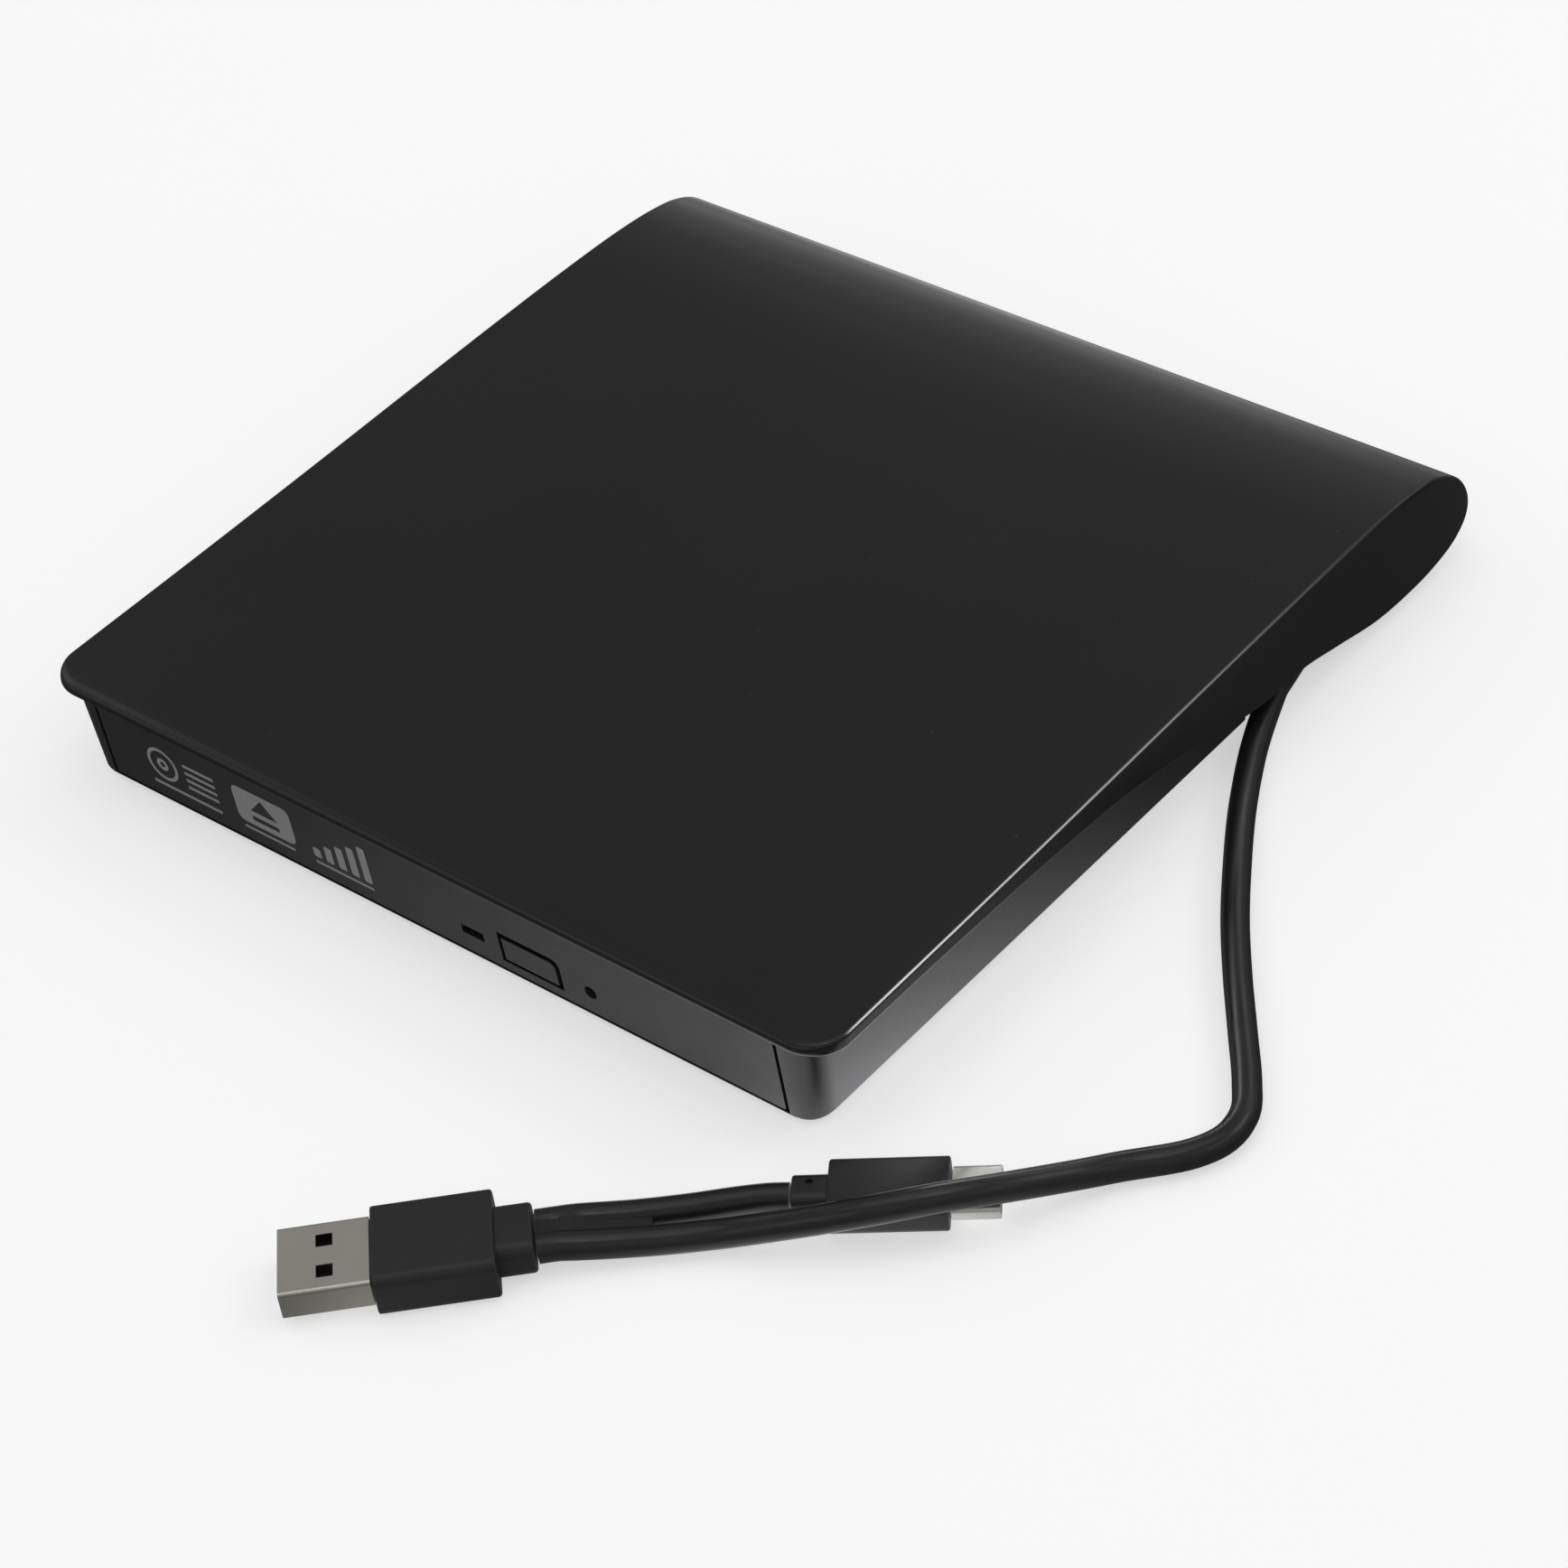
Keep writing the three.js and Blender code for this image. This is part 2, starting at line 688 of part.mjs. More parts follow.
// From the gutter's mouth it is free: it swings out over the table, turns back towards the
// front and crosses the small plug to the large one.
const GUTTER_MOUTH = [69.3, 104.2, CORD_Z];
const MAIN_ROUTE = [
  GUTTER_MOUTH,
  [70.5, 101, CORD_Z],
  [72.9, 95.1, CORD_Z],
  [75.4, 89.7, CORD_Z],
  [80.8, 79.7, CORD_Z],
  [86.7, 70.2, CORD_Z],
  [92.8, 61.1, CORD_Z],
  [99.2, 52.6, CORD_Z],
  [105.7, 44.5, CORD_Z],
  [112, 36.6, CORD_Z],
  [114.9, 32, CORD_Z],
  [115.5, 27.2, CORD_Z],
  [113.6, 22.6, CORD_Z],
  [107.2, 15.3, 1.5],
  [104.6, 11.2, 2.3],
  [100.2, 2.4, 5.2],
  [97.6, -1.8, 6.3],
  [94.5, -5.4, 6.6],
  [87.7, -11.8, 5.8],
  [80.1, -17.1, 3.9],
  [72, -22.2, 1.8],
  [64.9, -28.3, 1.7],
  [58, -34.4, 2.3],
];

// The large plug lies along this direction on the table, its mouth to the front left.
const A_PLUG = { x: 52.6, y: -36.6, turn: -135.3, z: 2.6 };
const C_PLUG = { x: 75.4, y: -12.3, turn: 35.5, z: 1.7 };

// Places a plug drawn along +X, from the lead's end at x = 0 to its mouth.
function lay(manifold, plug) {
  return manifold.rotate([0, 0, plug.turn]).translate(plug.x, plug.y, plug.z);
}

function plugPoint(plug, along, across) {
  const angle = THREE.MathUtils.degToRad(plug.turn);
  const c = Math.cos(angle);
  const s = Math.sin(angle);
  return [plug.x + along * c - across * s, plug.y + along * s + across * c, plug.z];
}

// A bar along X with a rounded-rectangle section.
function roundedBar(x0, x1, width, height, radius) {
  const section = roundedOutline(-width / 2, width / 2, -height / 2, height / 2, radius);
  return solid(sweepAlongX(section, x0, x1));
}

const A_SPLIT = 2.15;
const A_RELIEF = 4.9;
const A_BODY = A_RELIEF + 15.9;
const A_TIP = A_BODY + 12.2;
const C_RELIEF = 4.7;
const C_BODY = C_RELIEF + 15.7;
const C_TIP = C_BODY + 6.6;

function usbABody() {
  const relief = roundedBar(0, A_RELIEF + 0.5, 9.4, 5.6, 1.6);
  const grip = roundedBar(A_RELIEF, A_BODY, 14.4, 6.8, 1.3);
  return lay(relief.add(grip), A_PLUG);
}

function usbAShell() {
  let shell = roundedBar(A_BODY + GAP, A_TIP, 12, 4.5, 0.6);
  shell = shell.subtract(block(A_BODY + 1.2, A_TIP + 1, -5.7, 5.7, -1.95, 1.95));
  for (const v of [-2.7, 2.7]) {
    shell = shell.subtract(block(A_TIP - 7.2, A_TIP - 5, v - 1.1, v + 1.1, -3, 3));
  }
  return lay(shell, A_PLUG);
}

function usbATongue() {
  return lay(block(A_BODY + 1.5, A_TIP - 0.6, -5.3, 5.3, -1.6, 0.2), A_PLUG);
}

function usbCBody() {
  const relief = roundedBar(0, C_RELIEF + 0.5, 5.4, 4.4, 1.4);
  const grip = roundedBar(C_RELIEF, C_BODY, 10.2, 5, 1.3);
  const dimple = post(2.4, 0.6, 0.55, 1.7, 4, 16);
  return lay(relief.add(grip).subtract(dimple), C_PLUG);
}

function usbCShell() {
  const outer = roundedBar(C_BODY + GAP, C_TIP, 8.3, 2.5, 1.2);
  const mouth = roundedBar(C_BODY + 1.2, C_TIP + 1, 7.7, 1.9, 0.9);
  return lay(outer.subtract(mouth), C_PLUG);
}

function usbCContacts() {
  const pad = block(C_BODY + 1.5, C_BODY + 2.6, -3.2, 3.2, -0.6, 0.6);
  return lay(pad, C_PLUG);
}

function gutterLead() {
  return lead(GUTTER_ROUTE, CORD_DIAMETER, 10, 6);
}

// The free lead's inner end is a ball, so that it can swing about the gutter's mouth.
function mainCable() {
  const before = plugPoint(A_PLUG, -3, A_SPLIT);
  const end = plugPoint(A_PLUG, -GAP, A_SPLIT);
  const ball = new THREE.SphereGeometry(CORD_DIAMETER / 2, 12, 8);
  ball.translate(...GUTTER_MOUTH);
  const tube = solid(lead([...MAIN_ROUTE, before, end], CORD_DIAMETER, 10, 72));
  return tube.add(solid(ball));
}

function jumperCable() {
  const start = plugPoint(A_PLUG, -GAP, -A_SPLIT);
  const next = plugPoint(A_PLUG, -3, -A_SPLIT);
  const last = plugPoint(C_PLUG, -GAP, 0);
  const before = plugPoint(C_PLUG, -3, 0);
  const between = [
    [54.4, -31, 2],
    [60, -25.6, 1.3],
    [65.5, -20.6, 1.3],
    [69.4, -17, 1.5],
  ];
  return lead([start, next, ...between, before, last], CORD_DIAMETER, 10, 12);
}

function cableGland() {
  const { x, z, front, blockBack } = GLAND;
  const collar = rodAlongY(x, blockBack + GAP, blockBack + 1.9, z, 3.2, 20);
  const sleeve = rodAlongY(x, 129, blockBack + 1, z, 2.5, 20);
  const taper = new THREE.CylinderGeometry(2.5, 2.2, 129.2 - front, 20);
  taper.translate(x, (129.2 + front) / 2, z);
  return collar.add(sleeve).add(solid(taper));
}

function innerLead() {
  const route = [
    [GLAND.x, GLAND.blockBack + 2.3, GLAND.z],
    [GLAND.x, GLAND.blockBack + 3.2, GLAND.z + 0.1],
    [67.7, 139.8, 6],
    [64, 141.2, 7.4],
    [45, 141.6, 8.2],
    [10, 141.6, 8.4],
    [-8, 141.4, 8.2],
    [-12.3, 141.3, 8],
  ];
  return lead(route, 2.4, 8, 28);
}

// ---- assembly ----
addPart("top_cover", topCover(), glossBlack());
addPart("base_shell", baseShell(), satinBlack());
footPlaces.forEach(([x, y], i) => addPart(`foot_${i + 1}`, rubberFoot(x, y), rubberBlack()));
screwPlaces.forEach(([x, y], i) => addPart(`case_screw_${i + 1}`, caseScrew(x, y), darkScrew()));
addPart("drive_pan", drivePan(), bareSteel());
addPart("drive_lid", driveLid(), bareSteel());
addPart("tray", tray(), trayBlack());
addPart("tray_bezel", trayBezel(), bezelBlack());
addPart("eject_button", ejectButton(), bezelBlack());
addPart("led_window", ledPipe(), smokedWindow());
addPart("front_board", frontBoard(), boardGreen());
addPart("rail_left", slideRail(-1), bareSteel());
addPart("rail_right", slideRail(1), bareSteel());
addPart("traverse_plate", traversePlate(), bareSteel());
addPart("guide_rod_front", guideRod(-ROD_V), rodSteel());
addPart("guide_rod_rear", guideRod(ROD_V), rodSteel());
addPart("spindle_motor", spindleMotor(), bareSteel());
addPart("turntable", turntable(), trayBlack());
[90, 210, 330].forEach((turn, i) => addPart(`hub_claw_${i + 1}`, hubClaw(turn), ivory()));
addPart("grip_ring", gripRing(), rubberBlack());
addPart("laser_sled", laserSled(), bareSteel());
addPart("lens_holder", lensHolder(), trayBlack());
addPart("objective_lens", objectiveLens(), clearGlass());
addPart("leadscrew", leadscrew(), rodSteel());
addPart("sled_motor", sledMotor(), bareSteel());
addPart("eject_solenoid", ejectSolenoid(), bareSteel());
addPart("tray_latch", trayLatch(), ivory());
addPart("drive_board", driveBoard(), boardGreen());
addPart("drive_chip", driveChip(), chipBlack());
addPart("sata_plug", sataPlug(), chipBlack());
addPart("tray_ribbon", trayRibbon(), amber());
addPart("bridge_board", bridgeBoard(), boardGreen());
addPart("bridge_chip", bridgeChip(), chipBlack());
addPart("sata_socket", sataSocket(), chipBlack());
addPart("wire_header", wireHeader(), ivory());
addPart("inner_lead", innerLead(), cordBlack());
addPart("cable_gland", cableGland(), rubberBlack());
addPart("gutter_lead", gutterLead(), cordBlack());
addPart("main_cable", mainCable(), cordBlack());
addPart("jumper_cable", jumperCable(), cordBlack());
addPart("usb_a_body", usbABody(), plugBlack());
addPart("usb_a_shell", usbAShell(), platedSteel());
addPart("usb_a_tongue", usbATongue(), tongueBlack());
addPart("usb_c_body", usbCBody(), plugBlack());
addPart("usb_c_shell", usbCShell(), platedSteel());
addPart("usb_c_contacts", usbCContacts(), chipBlack());

export default drive;
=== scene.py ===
import json
import math

import bmesh
import bpy
from mathutils import Matrix, Vector

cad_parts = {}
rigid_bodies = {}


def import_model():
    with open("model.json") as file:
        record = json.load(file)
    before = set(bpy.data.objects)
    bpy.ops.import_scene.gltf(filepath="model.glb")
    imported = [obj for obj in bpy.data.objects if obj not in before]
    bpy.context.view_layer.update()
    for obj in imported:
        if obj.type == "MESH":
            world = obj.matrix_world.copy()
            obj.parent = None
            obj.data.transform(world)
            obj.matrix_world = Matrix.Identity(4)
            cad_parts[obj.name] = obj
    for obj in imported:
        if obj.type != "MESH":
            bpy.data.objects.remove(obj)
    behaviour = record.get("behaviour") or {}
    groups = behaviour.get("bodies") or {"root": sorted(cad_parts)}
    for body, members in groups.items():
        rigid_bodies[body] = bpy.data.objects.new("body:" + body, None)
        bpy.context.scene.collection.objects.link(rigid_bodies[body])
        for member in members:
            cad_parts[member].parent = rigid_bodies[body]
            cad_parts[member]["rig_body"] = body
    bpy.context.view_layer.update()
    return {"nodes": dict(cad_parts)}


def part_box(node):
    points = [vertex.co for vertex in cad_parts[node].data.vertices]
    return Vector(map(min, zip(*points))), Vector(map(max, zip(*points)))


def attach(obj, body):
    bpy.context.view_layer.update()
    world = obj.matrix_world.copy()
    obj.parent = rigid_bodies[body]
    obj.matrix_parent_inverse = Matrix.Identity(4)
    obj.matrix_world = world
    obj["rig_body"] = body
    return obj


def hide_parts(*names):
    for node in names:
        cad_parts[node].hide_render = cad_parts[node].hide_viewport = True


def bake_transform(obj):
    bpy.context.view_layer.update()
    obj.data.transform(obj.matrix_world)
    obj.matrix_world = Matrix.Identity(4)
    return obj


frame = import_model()

# Looks for a slim external optical drive: metres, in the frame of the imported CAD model.

nodes = frame["nodes"]
MM = 0.001

# Sizes below are the CAD source's drawn millimetres: x to the right of the middle, y back
# from the base's front edge, and z up from the base's underside.
NOSE = -1.9
DRAWN_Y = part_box("top_cover")[0].y / MM - NOSE
DRAWN_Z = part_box("base_shell")[0].z / MM


def at(x, y, z):
    """A point of the CAD source's drawing, in metres in the model's frame."""
    return Vector((x, y + DRAWN_Y, z + DRAWN_Z)) * MM


# ------------------------------------------------------------------ camera
CAMERA_PLACE = Vector((0.363866, -0.360749, 0.410473))
CAMERA_BACK = Vector((0.541895, -0.535524, 0.647738))
CAMERA_RIGHT = Vector((0.70298, 0.71121, 0))
CAMERA_ROLL = -8.7078
LENS = 101.64
SENSOR = 36


def make_camera(place, back, right, roll):
    """A camera at place, looking against back, turned by roll degrees about its axis."""
    back = back.normalized()
    right = (right - right.dot(back) * back).normalized()
    up = back.cross(right)
    c, s = math.cos(math.radians(roll)), math.sin(math.radians(roll))
    turned = Matrix((right * c + up * s, up * c - right * s, back)).transposed().to_4x4()
    data = bpy.data.cameras.new("view")
    data.lens = LENS
    data.sensor_width = SENSOR
    data.clip_start, data.clip_end = 0.01, 20
    camera = bpy.data.objects.new("view", data)
    camera.matrix_world = Matrix.Translation(place) @ turned
    bpy.context.scene.collection.objects.link(camera)
    bpy.context.scene.camera = camera


make_camera(CAMERA_PLACE, CAMERA_BACK, CAMERA_RIGHT, CAMERA_ROLL)


# ------------------------------------------------------------------ materials
class Look:
    """A procedural material, with short names for the nodes that its detail is made of."""

    def __init__(self, name, metallic=0.0, specular=0.5):
        self.material = bpy.data.materials.new(name)
        self.material.use_nodes = True
        self.tree = self.material.node_tree
        self.shader = self.tree.nodes["Principled BSDF"]
        self.shader.inputs["Metallic"].default_value = metallic
        self.shader.inputs["Specular IOR Level"].default_value = specular
        self.coords = self.tree.nodes.new("ShaderNodeTexCoord").outputs["Object"]
        self.normal = None

    def link(self, a, b):
        self.tree.links.new(a, b)

    def noise(self, scale, detail=2.0, roughness=0.5, stretch=(1, 1, 1), turn=0.0, seed=0.0):
        """Noise of 0 to 1: scale is in waves to the metre, and seed moves it elsewhere."""
        mapping = self.tree.nodes.new("ShaderNodeMapping")
        mapping.inputs["Rotation"].default_value = (0, 0, math.radians(turn))
        mapping.inputs["Scale"].default_value = stretch
        mapping.inputs["Location"].default_value = (seed, seed * 0.7, seed * 1.3)
        self.link(self.coords, mapping.inputs["Vector"])
        texture = self.tree.nodes.new("ShaderNodeTexNoise")
        texture.inputs["Scale"].default_value = scale
        texture.inputs["Detail"].default_value = detail
        texture.inputs["Roughness"].default_value = roughness
        self.link(mapping.outputs["Vector"], texture.inputs["Vector"])
        return texture.outputs["Fac"]

    def spread(self, value, low, high, start=0.3, end=0.7):
        """The value mapped from start..end onto low..high, and held at both ends."""
        node = self.tree.nodes.new("ShaderNodeMapRange")
        node.inputs["From Min"].default_value = start
        node.inputs["From Max"].default_value = end
        node.inputs["To Min"].default_value = low
        node.inputs["To Max"].default_value = high
        self.link(value, node.inputs["Value"])
        return node.outputs["Result"]

    def maths(self, operation, a, b):
        node = self.tree.nodes.new("ShaderNodeMath")
        node.operation = operation
        for socket, value in zip(node.inputs, (a, b)):
            if isinstance(value, (int, float)):
                socket.default_value = value
            else:
                self.link(value, socket)
        return node.outputs["Value"]

    def blend(self, factor, a, b):
        node = self.tree.nodes.new("ShaderNodeMix")
        node.data_type = "RGBA"
        self.link(factor, node.inputs["Factor"])
        sockets = [i for i in node.inputs if i.type == "RGBA"]
        for socket, value in zip(sockets, (a, b)):
            if isinstance(value, tuple):
                socket.default_value = (*value, 1)
            else:
                self.link(value, socket)
        return [o for o in node.outputs if o.type == "RGBA"][0]

    def colour(self, value):
        self.link(value, self.shader.inputs["Base Color"])

    def rough(self, value):
        self.link(value, self.shader.inputs["Roughness"])

    def bump(self, height, depth):
        """Relief of the given depth in metres, on top of any relief already there."""
        node = self.tree.nodes.new("ShaderNodeBump")
        node.inputs["Strength"].default_value = 1.0
        node.inputs["Distance"].default_value = depth
        self.link(height, node.inputs["Height"])
        if self.normal is not None:
            self.link(self.normal, node.inputs["Normal"])
        self.normal = node.outputs["Normal"]
        self.link(self.normal, self.shader.inputs["Normal"])

    def specks(self, scale, size, share):
        """0 to 1: a few tiny dots scattered over the surface, such as settled dust."""
        cells = self.tree.nodes.new("ShaderNodeTexVoronoi")
        cells.inputs["Scale"].default_value = scale
        self.link(self.coords, cells.inputs["Vector"])
        near = self.spread(cells.outputs["Distance"], 1.0, 0.0, size * 0.5, size)
        split = self.tree.nodes.new("ShaderNodeSeparateColor")
        self.link(cells.outputs["Color"], split.inputs["Color"])
        chosen = self.maths("LESS_THAN", split.outputs[0], share)
        return self.maths("MULTIPLY", near, chosen)


def moulded(name, dark, light, rough, grain, depth):
    """Moulded plastic or rubber, mottled from dark to light; grain and depth are in mm."""
    patch = 45
    look = Look(name)
    mottled = look.noise(patch, 3, 0.6)
    fine = look.noise(1 / (grain * MM * 2.2), 2, 0.6, seed=3)
    mixed = look.maths("ADD", look.maths("MULTIPLY", mottled, 0.65), look.maths("MULTIPLY", fine, 0.35))
    look.colour(look.blend(look.spread(mixed, 0, 1), dark, light))
    look.rough(look.spread(look.noise(patch * 4, 4, 0.65, seed=1), *rough))
    look.bump(look.noise(1 / (grain * MM), 3, 0.65, seed=2), depth * MM)
    return look.material


def metal(name, dark, light, rough, brush, turn=0.0, depth=0.002):
    """Rolled or brushed metal: streaks of the given width in mm, turned by so many degrees."""
    look = Look(name, metallic=1.0)
    streaks = look.noise(1 / (brush * MM), 3, 0.7, stretch=(1, 0.04, 1), turn=turn)
    clouds = look.noise(90, 4, 0.6, seed=5)
    mixed = look.maths("ADD", look.maths("MULTIPLY", streaks, 0.5), look.maths("MULTIPLY", clouds, 0.5))
    look.colour(look.blend(look.spread(mixed, 0, 1, 0.35, 0.65), dark, light))
    look.rough(look.spread(streaks, *rough))
    look.bump(streaks, depth * MM)
    return look.material


def grey(value):
    return (value, value, value)


def cover_look():
    """Satin black film with hairlines from front to back, a faint waviness and settled dust."""
    look = Look("cover_satin_black")
    hair = look.noise(2600, 3, 0.7, stretch=(1, 0.012, 1))
    cloud = look.noise(16, 3, 0.55, seed=1)
    dust = look.specks(260, 0.06, 0.11)
    lint = look.specks(95, 0.028, 0.2)
    settled = look.maths("MAXIMUM", dust, lint)
    film = look.blend(look.spread(cloud, 0, 1), grey(0.0095), grey(0.0115))
    look.colour(look.blend(look.maths("MULTIPLY", settled, 0.3), film, grey(0.08)))
    brushed = look.spread(hair, 0.259, 0.265)
    wavy = look.maths("ADD", brushed, look.spread(cloud, -0.012, 0.012))
    look.rough(look.maths("ADD", wavy, look.maths("MULTIPLY", dust, 0.2)))
    look.bump(look.noise(420, 2, 0.5, seed=2), 0.0012 * MM)
    look.bump(settled, 0.006 * MM)
    return look.material


def steel_sheet(name, tone, turn):
    return metal(name, grey(tone * 0.82), grey(tone), (0.28, 0.42), 0.35, turn, 0.0012)


def board_look():
    """Green solder mask over traces, with pads showing as pale dots."""
    look = Look("circuit_board")
    traces = look.tree.nodes.new("ShaderNodeTexBrick")
    traces.inputs["Scale"].default_value = 260
    traces.inputs["Mortar Size"].default_value = 0.03
    traces.inputs["Color1"].default_value = (0.003, 0.045, 0.016, 1)
    traces.inputs["Color2"].default_value = (0.004, 0.058, 0.02, 1)
    traces.inputs["Mortar"].default_value = (0.012, 0.13, 0.045, 1)
    look.link(look.coords, traces.inputs["Vector"])
    pads = look.specks(420, 0.22, 0.14)
    look.colour(look.blend(pads, traces.outputs["Color"], (0.55, 0.5, 0.38)))
    look.rough(look.spread(look.noise(300, 3), 0.22, 0.4))
    look.bump(traces.outputs["Fac"], 0.03 * MM)
    return look.material


def glass_look():
    """The objective's glass, with the blue cast of its coating."""
    look = Look("lens_glass", specular=0.6)
    look.shader.inputs["Transmission Weight"].default_value = 0.75
    look.shader.inputs["IOR"].default_value = 1.52
    tint = look.blend(look.spread(look.noise(900, 2), 0, 1), (0.30, 0.42, 0.62), (0.42, 0.52, 0.75))
    look.colour(tint)
    look.rough(look.spread(look.noise(1500, 2), 0.02, 0.06))
    return look.material


COVER = cover_look()
BASE = moulded("base_satin_black", grey(0.014), grey(0.019), (0.23, 0.30), 0.16, 0.008)
BEZEL = moulded("bezel_satin_black", grey(0.016), grey(0.022), (0.32, 0.40), 0.13, 0.007)
INNER = moulded("inner_black", grey(0.018), grey(0.026), (0.5, 0.62), 0.25, 0.012)
RUBBER = moulded("rubber_black", grey(0.012), grey(0.022), (0.72, 0.9), 0.22, 0.02)
CORD = moulded("cord_black", grey(0.014), grey(0.019), (0.27, 0.36), 0.45, 0.005)
PLUG = moulded("plug_black", grey(0.016), grey(0.023), (0.36, 0.5), 0.17, 0.016)
WINDOW = moulded("smoked_window", grey(0.004), grey(0.007), (0.08, 0.14), 0.6, 0.001)
CHIP = moulded("chip_black", grey(0.012), grey(0.02), (0.5, 0.65), 0.12, 0.006)
IVORY = moulded("connector_ivory", (0.55, 0.5, 0.4), (0.66, 0.61, 0.5), (0.4, 0.52), 0.2, 0.006)
AMBER = moulded("ribbon_amber", (0.32, 0.13, 0.025), (0.42, 0.19, 0.04), (0.3, 0.42), 0.4, 0.004)
PRINT = moulded("printed_grey", grey(0.20), grey(0.26), (0.45, 0.6), 0.12, 0.003)
PAN = steel_sheet("zinc_sheet", 0.55, 90.0)
PLATE = steel_sheet("plate_sheet", 0.5, 45.0)
A_STEEL = metal(
    "plug_steel", (0.65, 0.615, 0.545), (0.75, 0.71, 0.635), (0.28, 0.36), 0.05, 44.7, 0.0004
)
C_STEEL = metal(
    "plug_c_steel", (0.80, 0.78, 0.73), (0.88, 0.86, 0.81), (0.30, 0.38), 0.05, 35.5, 0.0004
)
ROD = metal("rod_steel", grey(0.6), grey(0.75), (0.12, 0.2), 0.3, 45, 0.0004)
SCREW = metal("screw_steel", grey(0.05), grey(0.09), (0.3, 0.42), 0.2)
BOARD = board_look()
GLASS = glass_look()


# ------------------------------------------------------------------ mesh tools
def skin(bm, rings, closed=True):
    """Quads between rings of the same length. Closed rings also get a flat face on each end."""
    made = [[bm.verts.new(p) for p in ring] for ring in rings]
    count = len(made[0])
    for a, b in zip(made, made[1:]):
        for i in range(count if closed else count - 1):
            j = (i + 1) % count
            bm.faces.new((a[i], a[j], b[j], b[i]))
    if closed:
        bm.faces.new(list(reversed(made[0])))
        bm.faces.new(made[-1])


def tidy(bm, merge=1e-6):
    """Joins points closer than merge and turns every face outward."""
    bmesh.ops.remove_doubles(bm, verts=bm.verts, dist=merge)
    bmesh.ops.dissolve_degenerate(bm, edges=bm.edges, dist=merge)
    bmesh.ops.recalc_face_normals(bm, faces=bm.faces)


def shade(bm, angle):
    """Smooth shading, with edges sharper than the angle in degrees left crisp."""
    for face in bm.faces:
        face.smooth = True
    limit = math.radians(angle)
    for edge in bm.edges:
        edge.smooth = len(edge.link_faces) == 2 and edge.calc_face_angle(0) < limit


def to_object(name, bm, angle=35):
    shade(bm, angle)
    mesh = bpy.data.meshes.new(name)
    bm.to_mesh(mesh)
    bm.free()
    obj = bpy.data.objects.new(name, mesh)
    bpy.context.scene.collection.objects.link(obj)
    return obj


def even_normals(obj):
    """Keeps flat faces flat beside their rounded edges."""
    normals = obj.modifiers.new("even_normals", "WEIGHTED_NORMAL")
    normals.keep_sharp = True


def finish_piece(obj, body, material, stands_for=(), even=True):
    """Gives a piece its material, and its place on its body; the CAD nodes that it stands for are
    hidden.
    """
    obj.data.materials.clear()
    obj.data.materials.append(material)
    if even:
        even_normals(obj)
    if body:
        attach(obj, body)
    if stands_for:
        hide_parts(*stands_for)
    return obj


def combine(obj, others, operation, angle=35):
    """obj joined with, or cut by, each of the other closed meshes, which are used up."""
    for other in others:
        step = obj.modifiers.new("shape", "BOOLEAN")
        step.operation = operation
        step.solver = "EXACT"
        step.object = other
    graph = bpy.context.evaluated_depsgraph_get()
    made = bpy.data.meshes.new_from_object(obj.evaluated_get(graph))
    obj.modifiers.clear()
    obj.data = made
    for other in others:
        bpy.data.objects.remove(other)
    bm = bmesh.new()
    bm.from_mesh(made)
    tidy(bm, 2e-7)
    shade(bm, angle)
    bm.to_mesh(made)
    bm.free()


def plan_frame(x, y, z, turn):
    """Places millimetres, drawn about an origin, at a drawn point and turned in plan."""
    place = Matrix.Translation(at(x, y, z)) @ Matrix.Rotation(math.radians(turn), 4, "Z")
    return place @ Matrix.Scale(MM, 4)


def in_frame(place):
    """A stand-in for at() that draws in such a frame."""

    def placed(x, y, z):
        return place @ Vector((x, y, z))

    return placed


def prism(outline, z0, z1, place=at):
    """A closed solid of a plan outline (x, y) between two heights."""
    bm = bmesh.new()
    skin(bm, [[place(x, y, z) for x, y in outline] for z in (z0, z1)])
    tidy(bm)
    return to_object("tool", bm)


def box(x0, x1, y0, y1, z0, z1):
    return prism([(x0, y0), (x1, y0), (x1, y1), (x0, y1)], z0, z1)


def ring_loop(x, y, radius, sides=40):
    turns = [2 * math.pi * i / sides for i in range(sides)]
    return [(x + radius * math.cos(t), y + radius * math.sin(t)) for t in turns]


def disc(x, y, radius, z0, z1, sides=48, place=at):
    return prism(ring_loop(x, y, radius, sides), z0, z1, place)


def rod_y(x, z, y0, y1, radius, far_radius=None):
    """A round tool along Y, or a cone when its far radius differs."""
    bm = bmesh.new()
    ends = ((y0, radius), (y1, far_radius or radius))
    skin(bm, [[at(a, y, b) for a, b in ring_loop(x, z, r)] for y, r in ends])
    tidy(bm)
    return to_object("tool", bm)


def quadratic(a, b, c, count):
    """Points on a quadratic curve from a to c, steered by b, both ends included."""
    found = []
    for i in range(count + 1):
        t = i / count
        shares = ((1 - t) ** 2, 2 * t * (1 - t), t * t)
        found.append(tuple(shares[0] * p + shares[1] * q + shares[2] * r for p, q, r in zip(a, b, c)))
    return found


